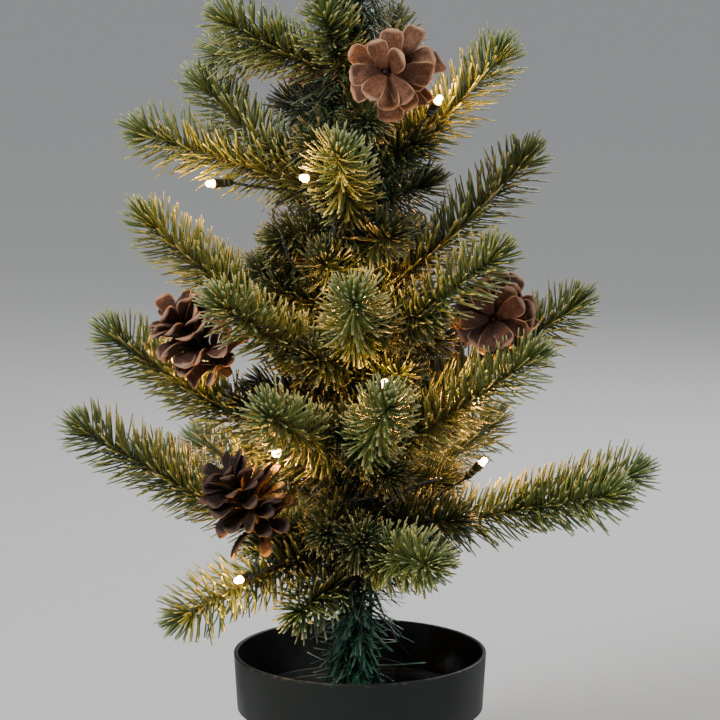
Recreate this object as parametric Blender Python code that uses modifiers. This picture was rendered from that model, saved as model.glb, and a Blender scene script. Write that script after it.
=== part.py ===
"""Artificial tabletop tree: a wire tree with bendable branches, pinecones and a light string, set in a pot.

Run with: blender --background --python part.py
Units are metres, +Z is up, and the pot's underside lies on z = 0 with its centre at the origin.
The front of the tree faces -Y and its right side +X.
"""

import math
from typing import NamedTuple

import bmesh
import bpy
from mathutils import Vector

# ---------------------------------------------------------------- pot and its filling
POT_HEIGHT = 0.115
POT_RIM_RADIUS = 0.068
POT_BAND_HEIGHT = 0.031
POT_BAND_TAPER = 0.0018
POT_STEP = 0.0035
POT_BASE_RADIUS = 0.0475
POT_WALL = 0.0022
POT_FLOOR = 0.0030
POT_SIDES = 40
WEIGHT_TOP = 0.048

# ---------------------------------------------------------------- trunk
TREE_HEIGHT = 0.600
CROWN_LENGTH = 0.134
TRUNK_X = -0.004
TRUNK_RADIUS = 0.0035
TINSEL_RADIUS = 0.009
TINSEL_BOTTOM = 0.070
TRUNK_SIDES = 14

# ---------------------------------------------------------------- branches
STEM_RADIUS = 0.0011
SPRIG_RADIUS = 0.0105
BARE_STEM = 0.020

# ---------------------------------------------------------------- pinecones
CONE_LENGTH = 0.046
CONE_RADIUS = 0.0215
PICK_RADIUS = 0.0008

# ---------------------------------------------------------------- light string
CABLE_RADIUS = 0.0012
LEAD_RADIUS = 0.0008
SOCKET_RADIUS = 0.0026
SOCKET_LENGTH = 0.011
LENS_RADIUS = 0.0017
LENS_LENGTH = 0.0045
LEAD_STANDOFF = 0.0035
LEAD_STEP_SHARE = 0.04
LAMP_TILT = 0.6

CABLE_STANDOFF = 0.0120
CABLE_POINTS = 54
CABLE_TOP = 0.325
# The way of the cable from the battery box out past its cover to the trunk, then round the trunk as it
# climbs: places in the pot first, and then (turn from +X, height above the rim) pairs between the branches.
CABLE_IN_POT = (
    (0.0340, 0.0185, 0.060),
    (0.0365, 0.0175, 0.066),
    (0.0360, 0.0130, 0.078),
    (0.0310, 0.0050, 0.088),
    (0.0170, 0.0030, 0.097),
)
CABLE_ON_TRUNK = ((30, -0.005), (31, 0.065), (34, 0.125), (36, 0.185), (34, 0.235), (36, 0.285))

# ---------------------------------------------------------------- battery box, two AA cells
CELL_RADIUS = 0.00725
CELL_LENGTH = 0.0495
CELL_NUB_RADIUS = 0.00275
CELL_NUB_LENGTH = 0.0010
CELL_GAP = 0.0006
CASE_WALL = 0.0015
SPRING_ROOM = 0.0032
SPRING_WIRE = 0.00035
SPRING_TURNS = 2.5
SPRING_SIDES = 8
CONTACT_THICKNESS = 0.0004
CONTACT_WIDTH = 0.009
COVER_THICKNESS = 0.0015
COVER_RIM_DEPTH = 0.0020
CASE_Y = 0.0098
SWITCH_TRAVEL = 0.0030
SWITCH_WIDTH = 0.0040
SWITCH_HEIGHT = 0.0030
SWITCH_KNOB = 0.0022

# ---------------------------------------------------------------- fits
GAP = 0.0003
FREE_GAP = 0.0012

TUBE_BEVEL = 2
CONE_BEVEL = 3


class Sprig(NamedTuple):
    """A side shoot: where it leaves the main stem, its turn sideways and its climb, and its length."""

    share: float
    turn_deg: float
    climb_deg: float
    length: float


class Branch(NamedTuple):
    """A branch: its direction from +X towards +Y, the heights of its root and its tip above the pot's rim,
    its tip's reach from the trunk's axis, the bow of its stem, and its side shoots."""

    name: str
    azimuth_deg: float
    root: float
    reach: float
    tip: float
    bow: float
    shoots: tuple = ()


BRANCHES = (
    Branch("branch_upper_left", 190, 0.310, 0.074, 0.343, -0.05, (Sprig(0.35, -38, 0, 0.052),)),
    Branch("branch_upper_right", -11, 0.255, 0.084, 0.328, -0.10),
    Branch("branch_upper_front", -112, 0.313, 0.044, 0.351, -0.08),
    Branch("branch_upper_back", 68, 0.290, 0.066, 0.337, -0.05, (Sprig(0.40, 48, 25, 0.050),)),
    Branch("branch_high_left", 181, 0.249, 0.118, 0.282, -0.03, (Sprig(0.18, -24, 42, 0.082),)),
    Branch("branch_high_front", -95, 0.237, 0.088, 0.281, -0.05),
    Branch("branch_high_right", 9, 0.190, 0.100, 0.271, -0.08),
    Branch("branch_high_back", 105, 0.225, 0.088, 0.265, -0.05, (Sprig(0.35, -50, 20, 0.055),)),
    Branch("branch_middle_left", 185, 0.160, 0.115, 0.241, -0.08, (Sprig(0.35, -38, 30, 0.060),)),
    Branch("branch_middle_right", -32, 0.168, 0.094, 0.226, -0.06),
    Branch("branch_middle_front", -89, 0.168, 0.104, 0.209, -0.05),
    Branch("branch_middle_front_left", -136, 0.155, 0.100, 0.203, -0.05),
    Branch("branch_middle_back", 70, 0.170, 0.102, 0.220, -0.05, (Sprig(0.35, 50, 20, 0.060),)),
    Branch("branch_wide_left", 184, 0.100, 0.134, 0.179, -0.06, (Sprig(0.45, -32, 28, 0.062),)),
    Branch("branch_wide_right_back", 16, 0.120, 0.134, 0.188, -0.06),
    Branch("branch_wide_right", -22, 0.107, 0.108, 0.172, -0.06),
    Branch("branch_low_front_left", -115, 0.111, 0.108, 0.150, -0.05),
    Branch("branch_low_front", -80, 0.107, 0.113, 0.158, -0.05),
    Branch("branch_bottom_left", 184, 0.053, 0.150, 0.128, -0.06, (Sprig(0.40, -32, 25, 0.065),)),
    Branch("branch_bottom_right", -4, 0.063, 0.158, 0.102, -0.06, (Sprig(0.50, -25, 14, 0.070),)),
    Branch("branch_low_back", 110, 0.115, 0.120, 0.170, -0.05, (Sprig(0.35, -42, 20, 0.070),)),
    Branch("branch_bottom_front_right", -67, 0.053, 0.109, 0.070, 0.05),
    Branch("branch_bottom_front_left", -148, 0.057, 0.112, 0.029, 0.08),
    Branch("branch_bottom_back_right", 50, 0.070, 0.130, 0.110, -0.02, (Sprig(0.40, 35, 8, 0.070),)),
    Branch("branch_bottom_back_left", 135, 0.065, 0.130, 0.100, -0.02, (Sprig(0.40, -35, 8, 0.070),)),
    Branch("branch_skirt_front", -122, 0.040, 0.062, 0.028, 0.10),
)


class Lamp(NamedTuple):
    """A lamp beside a branch: its branch, the share of the stem that its lead follows, its side, and how far the
    lead rises from the needles."""

    name: str
    branch: str
    share: float
    side_deg: float
    rise: float = 0.0


LAMPS = (
    Lamp("led_lamp_1", "branch_upper_right", 0.50, 165, 0.006),
    Lamp("led_lamp_2", "branch_high_front", 0.70, -150),
    Lamp("led_lamp_3", "branch_high_left", 0.46, -30, 0.003),
    Lamp("led_lamp_4", "branch_bottom_right", 0.38, 90, 0.009),
    Lamp("led_lamp_5", "branch_bottom_front_left", 0.58, 30, 0.006),
    Lamp("led_lamp_6", "branch_wide_left", 0.58, 165, 0.012),
    Lamp("led_lamp_7", "branch_wide_right", 0.42, 0, 0.003),
    Lamp("led_lamp_8", "branch_low_front", 0.46, 75, 0.006),
    Lamp("led_lamp_9", "branch_middle_back", 0.50, 90),
    Lamp("led_lamp_10", "branch_bottom_back_left", 0.50, 90),
    Lamp("led_lamp_11", "branch_middle_front", 0.26, 90, 0.003),
    Lamp("led_lamp_12", "branch_low_front_left", 0.34, -150),
)


class Cone(NamedTuple):
    """A pinecone: its branch, the share of the stem where its pick starts, its base, and where it points.
    The base is measured from the middle of the pot's mouth."""

    name: str
    branch: str
    share: float
    base: tuple
    points_to: tuple


CONES = (
    Cone("pinecone_top", "branch_upper_right", 0.10, (0.023, -0.033, 0.314), (-0.27, -0.95, 0.03)),
    Cone("pinecone_left", "branch_wide_left", 0.52, (-0.068, -0.025, 0.155), (-0.62, -0.20, 0.73)),
    Cone("pinecone_right", "branch_wide_right_back", 0.52, (0.075, 0.011, 0.185), (-0.15, -1.0, -0.02)),
    Cone("pinecone_lower_left", "branch_bottom_left", 0.30, (-0.046, -0.046, 0.073), (-0.50, -0.30, 0.81)),
    Cone("pinecone_back", "branch_wide_right_back", 0.28, (0.030, 0.052, 0.146), (0.35, 0.90, 0.15)),
    Cone("pinecone_back_high", "branch_high_back", 0.50, (-0.014, 0.050, 0.285), (-0.22, 0.95, 0.20)),
)

CROWN_WHORL_HEIGHT = 0.021
CROWN_WHORL_REACH = 0.052
CROWN_WHORL_RISE = 0.040
CROWN_WHORL_COUNT = 5

SPRIG_SHAPE = ((0.0, 0.30), (0.10, 0.75), (0.30, 1.0), (0.60, 0.95), (0.85, 0.62), (1.0, 0.20))
CONE_SHAPE = ((0.0, 0.25), (0.08, 0.62), (0.25, 0.95), (0.45, 1.0), (0.70, 0.80), (0.90, 0.45), (1.0, 0.18))

FINISHES = {
    "pot": ((0.030, 0.040, 0.036), 0.55, 0.0),
    "cement": ((0.30, 0.29, 0.27), 0.95, 0.0),
    "steel": ((0.55, 0.55, 0.56), 0.35, 1.0),
    "tinsel": ((0.020, 0.075, 0.035), 0.50, 0.0),
    "needles": ((0.110, 0.230, 0.060), 0.45, 0.0),
    "pinecone": ((0.140, 0.065, 0.040), 0.80, 0.0),
    "cable": ((0.015, 0.025, 0.018), 0.40, 0.0),
    "lamp": ((0.90, 0.70, 0.35), 0.20, 0.0),
    "case": ((0.020, 0.020, 0.021), 0.45, 0.0),
    "cell": ((0.60, 0.58, 0.52), 0.30, 0.6),
    "switch": ((0.70, 0.70, 0.68), 0.40, 0.0),
}


# ---------------------------------------------------------------- scene and materials
def clear_scene():
    """Remove what the scene holds."""
    for obj in list(bpy.data.objects):
        bpy.data.objects.remove(obj, do_unlink=True)


def new_collection(name, hidden):
    """Make a collection in the scene; a hidden one holds helper shapes that aren't rendered."""
    collection = bpy.data.collections.new(name)
    collection.hide_render = hidden
    bpy.context.scene.collection.children.link(collection)
    return collection


def finish(name):
    """The material of this name, made on first use."""
    material = bpy.data.materials.get(name)
    if material:
        return material
    colour, roughness, metallic = FINISHES[name]
    material = bpy.data.materials.new(name)
    material.use_nodes = True
    shader = material.node_tree.nodes["Principled BSDF"]
    shader.inputs["Base Color"].default_value = (*colour, 1.0)
    shader.inputs["Roughness"].default_value = roughness
    shader.inputs["Metallic"].default_value = metallic
    material.diffuse_color = (*colour, 1.0)
    return material


def add_object(name, data, material, collection, location=(0, 0, 0)):
    """Put a mesh or curve in the scene as an object of this name."""
    obj = bpy.data.objects.new(name, data)
    obj.location = location
    data.materials.append(finish(material))
    collection.objects.link(obj)
    return obj


def as_cutter(obj):
    """Keep a helper shape out of the render and draw it as a wire."""
    obj.hide_render = True
    obj.display_type = "WIRE"
    return obj


# ---------------------------------------------------------------- shapes
def turned(name, profile, sides, material, collection, location=(0, 0, 0), closed=False):
    """A solid of revolution about Z from (radius, height) pairs that run down the outer side."""
    shape = bmesh.new()
    points = [shape.verts.new((radius, 0, height)) for radius, height in profile]
    for first, second in zip(points, points[1:]):
        shape.edges.new((first, second))
    if closed:
        shape.edges.new((points[-1], points[0]))
    mesh = bpy.data.meshes.new(name)
    shape.to_mesh(mesh)
    shape.free()
    obj = add_object(name, mesh, material, collection, location)
    screw = obj.modifiers.new("Turn", "SCREW")
    screw.steps = sides
    screw.render_steps = sides
    screw.use_merge_vertices = True
    screw.merge_threshold = 0.00001
    screw.use_smooth_shade = False
    return obj


def box(name, low, high, material, collection):
    """A box between two corners."""
    shape = bmesh.new()
    bmesh.ops.create_cube(shape, size=1.0)
    sides = [h - l for l, h in zip(low, high)]
    bmesh.ops.scale(shape, vec=sides, verts=shape.verts)
    mesh = bpy.data.meshes.new(name)
    shape.to_mesh(mesh)
    shape.free()
    middle = [(l + h) / 2 for l, h in zip(low, high)]
    return add_object(name, mesh, material, collection, middle)


def tube(name, points, radii, material, collection, location=(0, 0, 0), bevel=TUBE_BEVEL):
    """A round rod through these points, with a radius at each, as a curve whose points start at location."""
    curve = bpy.data.curves.new(name, "CURVE")
    curve.dimensions = "3D"
    curve.bevel_depth = 1.0
    curve.bevel_resolution = bevel
    curve.use_fill_caps = True
    spline = curve.splines.new("POLY")
    spline.points.add(len(points) - 1)
    for slot, point, radius in zip(spline.points, points, radii):
        slot.co = (*(Vector(point) - Vector(location)), 1.0)
        slot.radius = radius
    return add_object(name, curve, material, collection, location)


def as_mesh(obj):
    """Replace a curve object by its mesh, with the caps welded on."""
    bpy.context.view_layer.update()
    graph = bpy.context.evaluated_depsgraph_get()
    mesh = bpy.data.meshes.new_from_object(obj.evaluated_get(graph))
    shape = bmesh.new()
    shape.from_mesh(mesh)
    bmesh.ops.remove_doubles(shape, verts=shape.verts, dist=0.000001)
    shape.to_mesh(mesh)
    shape.free()
    name = obj.name
    matrix = obj.matrix_world.copy()
    collection = obj.users_collection[0]
    bpy.data.objects.remove(obj)
    copy = bpy.data.objects.new(name, mesh)
    copy.matrix_world = matrix
    collection.objects.link(copy)
    return copy


def boolean(target, operand, operation):
    """Join or cut a mesh with another one, which stays as a hidden helper."""
    modifier = target.modifiers.new(operation.title(), "BOOLEAN")
    modifier.operation = operation
    modifier.object = as_cutter(operand)


# ---------------------------------------------------------------- pot, weight and trunk
def pot_neck_radius():
    """Outer radius of the pot's body just under its rim band."""
    return POT_RIM_RADIUS - POT_BAND_TAPER - POT_STEP


def pot_body_radius(height):
    """Outer radius of the pot's tapered body at a height."""
    share = height / (POT_HEIGHT - POT_BAND_HEIGHT)
    return POT_BASE_RADIUS + share * (pot_neck_radius() - POT_BASE_RADIUS)


def trunk_top():
    """Height of the trunk's top, where the crown is pushed on."""
    return TREE_HEIGHT - CROWN_LENGTH


def build_pot(parts):
    """The pot: a tapered body with a wide rim band, open on top."""
    band_bottom = POT_HEIGHT - POT_BAND_HEIGHT
    band_radius = POT_RIM_RADIUS - POT_BAND_TAPER
    profile = (
        (0, POT_FLOOR),
        (pot_body_radius(POT_FLOOR) - POT_WALL, POT_FLOOR),
        (pot_neck_radius() - POT_WALL, band_bottom + POT_WALL),
        (band_radius - POT_WALL, band_bottom + 2 * POT_WALL),
        (POT_RIM_RADIUS - POT_WALL, POT_HEIGHT),
        (POT_RIM_RADIUS, POT_HEIGHT),
        (band_radius, band_bottom),
        (pot_neck_radius(), band_bottom),
        (POT_BASE_RADIUS, 0),
        (0, 0),
    )
    return turned("pot", profile, POT_SIDES, "pot", parts)


def build_weight(parts, helpers):
    """The cast ballast in the pot, with a hole that the trunk stands in."""
    hole = TRUNK_RADIUS + GAP
    bottom = POT_FLOOR + GAP
    inset = POT_WALL + 2 * GAP
    shift = Vector((TRUNK_X, 0, 0))
    profile = (
        (0, WEIGHT_TOP),
        (pot_body_radius(WEIGHT_TOP) - inset, WEIGHT_TOP),
        (pot_body_radius(bottom) - inset, bottom),
        (0, bottom),
    )
    weight = turned("base_weight", profile, POT_SIDES, "cement", parts)
    above, below = WEIGHT_TOP + GAP, bottom + POT_FLOOR
    socket = ((0, above), (hole, above), (hole, below), (0, below))
    boolean(weight, turned("base_weight_hole", socket, TRUNK_SIDES, "cement", helpers, shift), "DIFFERENCE")


def build_trunk(parts):
    """The wire pole that stands in the ballast, and the sleeve of tinsel wound round it."""
    shift = Vector((TRUNK_X, 0, 0))
    foot = 2 * POT_FLOOR + 2 * GAP
    pole = ((0, trunk_top()), (TRUNK_RADIUS, trunk_top()), (TRUNK_RADIUS, foot), (0, foot))
    turned("trunk_pole", pole, TRUNK_SIDES, "steel", parts, shift)
    inner = TRUNK_RADIUS + GAP
    sleeve = (
        (inner, trunk_top()),
        (TINSEL_RADIUS, trunk_top()),
        (TINSEL_RADIUS, TINSEL_BOTTOM),
        (inner, TINSEL_BOTTOM),
    )
    turned("trunk_tinsel", sleeve, TRUNK_SIDES, "tinsel", parts, shift, closed=True)


# ---------------------------------------------------------------- branches
def direction(azimuth_deg):
    """The level direction at this angle from +X towards +Y."""
    angle = math.radians(azimuth_deg)
    return Vector((math.cos(angle), math.sin(angle), 0))


def on_axis(height):
    """The point of the trunk's axis at a height above the pot's rim."""
    return Vector((TRUNK_X, 0, POT_HEIGHT + height))


def root_of(branch):
    """Where a branch leaves the trunk, which is also where it bends."""
    return on_axis(branch.root) + direction(branch.azimuth_deg) * (TINSEL_RADIUS + FREE_GAP)


def tip_of(branch):
    """The far end of a branch's main stem."""
    return on_axis(branch.tip) + direction(branch.azimuth_deg) * branch.reach


def arc(start, end, bow, share):
    """A point on a bowed line from start to end; a positive bow lifts its middle."""
    middle = (start + end) / 2 + Vector((0, 0, bow * (end - start).length))
    return start * (1 - share) ** 2 + middle * 2 * share * (1 - share) + end * share**2


def on_stem(branch, share):
    """A point on a branch's main stem."""
    return arc(root_of(branch), tip_of(branch), branch.bow, share)


def sprig_outline(length, bare):
    """(share of the length, radius) pairs of a stem that is bare at first and then swells into needles."""
    bare_share = min(bare / length, 0.5)
    pairs = [(0.0, STEM_RADIUS), (bare_share * 0.9, STEM_RADIUS)]
    for share, swell in SPRIG_SHAPE:
        pairs.append((bare_share + share * (1 - bare_share), swell * SPRIG_RADIUS))
    return pairs


def shoot_ends(branch, shoot):
    """The start and the end of a side shoot."""
    start = on_stem(branch, shoot.share)
    climb = math.radians(shoot.climb_deg)
    level = direction(branch.azimuth_deg + shoot.turn_deg) * math.cos(climb)
    return start, start + shoot.length * (level + Vector((0, 0, math.sin(climb))))


def build_branch(branch, parts, helpers):
    """A branch with its side shoots, as one body whose origin is its bend at the trunk."""
    root = root_of(branch)
    length = (tip_of(branch) - root).length
    outline = sprig_outline(length, BARE_STEM)
    points = [on_stem(branch, share) for share, _ in outline]
    body = tube(branch.name, points, [radius for _, radius in outline], "needles", parts, root)
    if branch.shoots:
        body = as_mesh(body)
    for number, shoot in enumerate(branch.shoots, 1):
        start, end = shoot_ends(branch, shoot)
        outline = sprig_outline(shoot.length, BARE_STEM / 4)
        points = [arc(start, end, 0, share) for share, _ in outline]
        radii = [radius for _, radius in outline]
        side = tube(f"{branch.name}_shoot_{number}", points, radii, "needles", helpers, root)
        boolean(body, as_mesh(side), "UNION")
    return body


def build_crown(parts, helpers):
    """The leader and its whorl of short sprigs on top of the trunk."""
    base = Vector((TRUNK_X, 0, trunk_top() + FREE_GAP))
    tip = Vector((TRUNK_X, 0, TREE_HEIGHT))
    outline = sprig_outline((tip - base).length, BARE_STEM / 2)
    points = [arc(base, tip, 0, share) for share, _ in outline]
    crown = as_mesh(tube("crown", points, [radius for _, radius in outline], "needles", parts, base))
    start = Vector((TRUNK_X, 0, trunk_top() + CROWN_WHORL_HEIGHT))
    for number in range(CROWN_WHORL_COUNT):
        end = start + direction(-90 + 360 * number / CROWN_WHORL_COUNT) * CROWN_WHORL_REACH
        end.z += CROWN_WHORL_RISE
        outline = sprig_outline((end - start).length, BARE_STEM / 2)
        points = [arc(start, end, 0, share) for share, _ in outline]
        radii = [radius for _, radius in outline]
        side = tube(f"crown_shoot_{number + 1}", points, radii, "needles", helpers, base)
        boolean(crown, as_mesh(side), "UNION")
    return crown


# ---------------------------------------------------------------- pinecones
def branch_named(name):
    """The branch of this name."""
    return next(branch for branch in BRANCHES if branch.name == name)


def swell_at(branch, share):
    """The radius of a branch's main body at a share of its stem."""
    outline = sprig_outline((tip_of(branch) - root_of(branch)).length, BARE_STEM)
    for (first, small), (second, large) in zip(outline, outline[1:]):
        if share <= second:
            return small + (large - small) * (share - first) / (second - first)
    return outline[-1][1]


def build_cone(cone, parts):
    """A pinecone with the wire pick that ties it to its branch."""
    branch = branch_named(cone.branch)
    stem = on_stem(branch, cone.share)
    base = Vector(cone.base) + Vector((0, 0, POT_HEIGHT))
    axis = Vector(cone.points_to).normalized()
    start = stem + (base - stem).normalized() * (swell_at(branch, cone.share) + PICK_RADIUS + FREE_GAP)
    points = [start, base]
    radii = [PICK_RADIUS, PICK_RADIUS]
    for share, swell in CONE_SHAPE:
        points.append(base + axis * (PICK_RADIUS + share * CONE_LENGTH))
        radii.append(swell * CONE_RADIUS)
    return tube(cone.name, points, radii, "pinecone", parts, root_of(branch), CONE_BEVEL)


# ---------------------------------------------------------------- light string
def lead_points(lamp):
    """Where a lamp's lead runs: beside its branch, clear of the needles, from the trunk out to the lamp."""
    branch = branch_named(lamp.branch)
    turn = math.radians(lamp.side_deg)
    across = direction(branch.azimuth_deg + 90)
    above = (tip_of(branch) - root_of(branch)).normalized().cross(across)
    side = across * math.cos(turn) + above * math.sin(turn)
    outline = sprig_outline((tip_of(branch) - root_of(branch)).length, BARE_STEM)
    shares = [share for share, _ in outline[1:] if share < lamp.share - LEAD_STEP_SHARE] + [lamp.share]
    points = []
    for share in shares:
        standoff = LEAD_STANDOFF + lamp.rise * (share / lamp.share) ** 2
        points.append(on_stem(branch, share) + side * (swell_at(branch, share) + standoff))
    return points, side


def build_lamp(lamp, parts):
    """A lamp of the light string: its lead, its socket and its lens, as one rod of changing width."""
    branch = branch_named(lamp.branch)
    points, side = lead_points(lamp)
    along = (on_stem(branch, lamp.share + 0.05) - on_stem(branch, lamp.share)).normalized()
    ahead = (along + side * LAMP_TILT).normalized()
    end = points[-1]
    radii = [LEAD_RADIUS] * len(points)
    lens_base = SOCKET_LENGTH + LENS_LENGTH * 0.1
    steps = (
        (0.0005, SOCKET_RADIUS * 0.8),
        (SOCKET_LENGTH, SOCKET_RADIUS),
        (lens_base, LENS_RADIUS),
        (lens_base + LENS_LENGTH * 0.6, LENS_RADIUS),
        (lens_base + LENS_LENGTH, LENS_RADIUS * 0.3),
    )
    for distance, radius in steps:
        points.append(end + ahead * distance)
        radii.append(radius)
    return tube(lamp.name, points, radii, "lamp", parts, root_of(branch))


def smooth_route(knots, count):
    """Evenly shared points on a smooth curve through these knots."""
    points = []
    last = len(knots) - 1
    for step in range(count):
        place = step / (count - 1) * last
        index = min(int(place), last - 1)
        share = place - index
        before = knots[max(index - 1, 0)]
        first, second = knots[index], knots[index + 1]
        after = knots[min(index + 2, last)]
        slope_in = (second - before) / 2
        slope_out = (after - first) / 2
        cube, square = share**3, share**2
        points.append(
            first * (2 * cube - 3 * square + 1)
            + slope_in * (cube - 2 * square + share)
            + second * (3 * square - 2 * cube)
            + slope_out * (cube - square)
        )
    return points


def build_cable(parts):
    """The light string's supply cable, from the battery box up the trunk between the branches."""
    knots = [Vector((case_end() + GAP, *CABLE_IN_POT[0][1:]))]
    knots += [Vector(point) for point in CABLE_IN_POT]
    for turn, height in (*CABLE_ON_TRUNK, (CABLE_ON_TRUNK[-1][0], CABLE_TOP)):
        knots.append(on_axis(height) + direction(turn) * CABLE_STANDOFF)
    points = smooth_route(knots, CABLE_POINTS)
    tube("light_cable", points, [CABLE_RADIUS] * len(points), "cable", parts)


# ---------------------------------------------------------------- battery box
def cell_space():
    """Length inside the box: a cell, its contacts and the spring."""
    return CELL_LENGTH + CELL_NUB_LENGTH + SPRING_ROOM + 2 * CONTACT_THICKNESS + 4 * GAP


def case_end():
    """How far the box's ends lie from its middle."""
    return cell_space() / 2 + CASE_WALL


def case_depth():
    """Width of the box across its two cells."""
    return 4 * CELL_RADIUS + 3 * CELL_GAP + 2 * CASE_WALL


def case_floor():
    """Height of the box's underside, on the ballast."""
    return WEIGHT_TOP + GAP


def case_height():
    """Height of the box without its cover."""
    return CASE_WALL + 2 * CELL_RADIUS + CELL_GAP + COVER_RIM_DEPTH


def cell_axis(number):
    """The middle line of a cell: its Y and Z."""
    y = CASE_Y + CASE_WALL + CELL_GAP + CELL_RADIUS + number * (2 * CELL_RADIUS + CELL_GAP)
    return y, case_floor() + CASE_WALL + GAP + CELL_RADIUS


def switch_middle():
    """The middle of the switch's travel: its Y and Z."""
    return CASE_Y + case_depth() / 2, case_floor() + case_height() * 0.5


def build_case(parts, helpers):
    """The battery box: an open tray with a slot in one end for the switch."""
    end, floor, top = case_end(), case_floor(), case_floor() + case_height()
    case = box("battery_case", (-end, CASE_Y, floor), (end, CASE_Y + case_depth(), top), "case", parts)
    inside_low = (-end + CASE_WALL, CASE_Y + CASE_WALL, floor + CASE_WALL)
    inside_high = (end - CASE_WALL, CASE_Y + case_depth() - CASE_WALL, top + CASE_WALL)
    boolean(case, box("battery_case_inside", inside_low, inside_high, "case", helpers), "DIFFERENCE")
    y, z = switch_middle()
    half = (SWITCH_WIDTH + SWITCH_TRAVEL) / 2 + GAP
    low = (-end - CASE_WALL, y - half, z - SWITCH_HEIGHT / 2 - GAP)
    high = (-end + 2 * CASE_WALL, y + half, z + SWITCH_HEIGHT / 2 + GAP)
    boolean(case, box("battery_case_slot", low, high, "case", helpers), "DIFFERENCE")


def build_cover(parts, helpers):
    """The snap-on cover: a plate with a rim that reaches down inside the box."""
    end, top = case_end(), case_floor() + case_height() + GAP
    far = CASE_Y + case_depth()
    cover = box("battery_cover", (-end, CASE_Y, top), (end, far, top + COVER_THICKNESS), "case", parts)
    inset = CASE_WALL + GAP
    low = (-end + inset, CASE_Y + inset, top - COVER_RIM_DEPTH + 2 * GAP)
    high = (end - inset, far - inset, top + COVER_THICKNESS / 2)
    boolean(cover, box("battery_cover_rim", low, high, "case", helpers), "UNION")
    low = (low[0] + CASE_WALL, low[1] + CASE_WALL, low[2] - CASE_WALL)
    high = (high[0] - CASE_WALL, high[1] - CASE_WALL, top)
    boolean(cover, box("battery_cover_hollow", low, high, "case", helpers), "DIFFERENCE")


def build_switch(parts, helpers):
    """The slide switch's knob, with a shank in the box's slot, at the off end of its travel."""
    end = case_end()
    y, z = switch_middle()
    y -= SWITCH_TRAVEL / 2
    half, rise = SWITCH_WIDTH / 2, SWITCH_HEIGHT / 2
    low = (-end - GAP - SWITCH_KNOB, y - half - GAP, z - rise - CASE_WALL)
    high = (-end - GAP, y + half + GAP, z + rise + CASE_WALL)
    knob = box("switch_slider", low, high, "switch", parts)
    low = (-end - GAP - SWITCH_KNOB / 2, y - half, z - rise)
    high = (-end + CASE_WALL - GAP, y + half, z + rise)
    boolean(knob, box("switch_slider_shank", low, high, "switch", helpers), "UNION")


def build_cells(parts):
    """The two cells, laid opposite ways round."""
    profile = (
        (0, CELL_LENGTH + CELL_NUB_LENGTH),
        (CELL_NUB_RADIUS, CELL_LENGTH + CELL_NUB_LENGTH),
        (CELL_NUB_RADIUS, CELL_LENGTH),
        (CELL_RADIUS, CELL_LENGTH),
        (CELL_RADIUS, 0),
        (0, 0),
    )
    inner = case_end() - CASE_WALL
    for number in range(2):
        y, z = cell_axis(number)
        cell = turned(f"battery_{number + 1}", profile, 20, "cell", parts)
        facing = 1 if number == 0 else -1
        cell.rotation_euler = (0, facing * math.pi / 2, 0)
        cell.location = (facing * (SPRING_ROOM + CONTACT_THICKNESS + GAP - inner), y, z)


def build_spring(number, parts):
    """The cone-shaped spring that presses on a cell's flat end."""
    facing = 1 if number == 0 else -1
    y, z = cell_axis(number)
    wide, narrow = CONTACT_WIDTH / 2 - SPRING_WIRE, CELL_NUB_RADIUS
    start = CONTACT_THICKNESS + 2 * GAP + SPRING_WIRE + CASE_WALL - case_end()
    rise = SPRING_ROOM - 2 * GAP - 2 * SPRING_WIRE
    steps = round(SPRING_TURNS * SPRING_SIDES)
    points = []
    for step in range(steps + 1):
        share = step / steps
        angle = 2 * math.pi * SPRING_TURNS * share
        radius = wide + (narrow - wide) * share
        place = (facing * (start + share * rise), y + radius * math.cos(angle), z + radius * math.sin(angle))
        points.append(place)
    tube(f"contact_spring_{number + 1}", points, [SPRING_WIRE] * len(points), "steel", parts, bevel=1)


def build_contacts(parts):
    """The two springs, the two lead plates at one end of the box and the bridge at the other."""
    inner = case_end() - CASE_WALL
    half = CONTACT_WIDTH / 2
    for number in range(2):
        build_spring(number, parts)
        y, z = cell_axis(number)
        low = (-inner + GAP, y - half, z - half)
        high = (-inner + GAP + CONTACT_THICKNESS, y + half, z + half)
        box(f"contact_plate_{number + 1}", low, high, "steel", parts)
    first, second = cell_axis(0)[0], cell_axis(1)[0]
    z = cell_axis(0)[1]
    low = (inner - GAP - CONTACT_THICKNESS, first - half, z - half)
    high = (inner - GAP, second + half, z + half)
    box("contact_bridge", low, high, "steel", parts)


def main():
    """Build the whole tree."""
    clear_scene()
    parts = new_collection("tabletop_tree", False)
    helpers = new_collection("tabletop_tree_cutters", True)
    build_pot(parts)
    build_weight(parts, helpers)
    build_trunk(parts)
    for branch in BRANCHES:
        build_branch(branch, parts, helpers)
    build_crown(parts, helpers)
    for cone in CONES:
        build_cone(cone, parts)
    for lamp in LAMPS:
        build_lamp(lamp, parts)
    build_cable(parts)
    build_case(parts, helpers)
    build_cover(parts, helpers)
    build_switch(parts, helpers)
    build_cells(parts)
    build_contacts(parts)


main()
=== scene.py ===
"""Looks of an artificial tabletop tree: needle sprigs, tinsel, pinecones, a light string and a potted base.

Units are metres. The tree's front faces -Y, its right side +X, and the pot stands on z = 0.
"""

from __future__ import annotations

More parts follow.
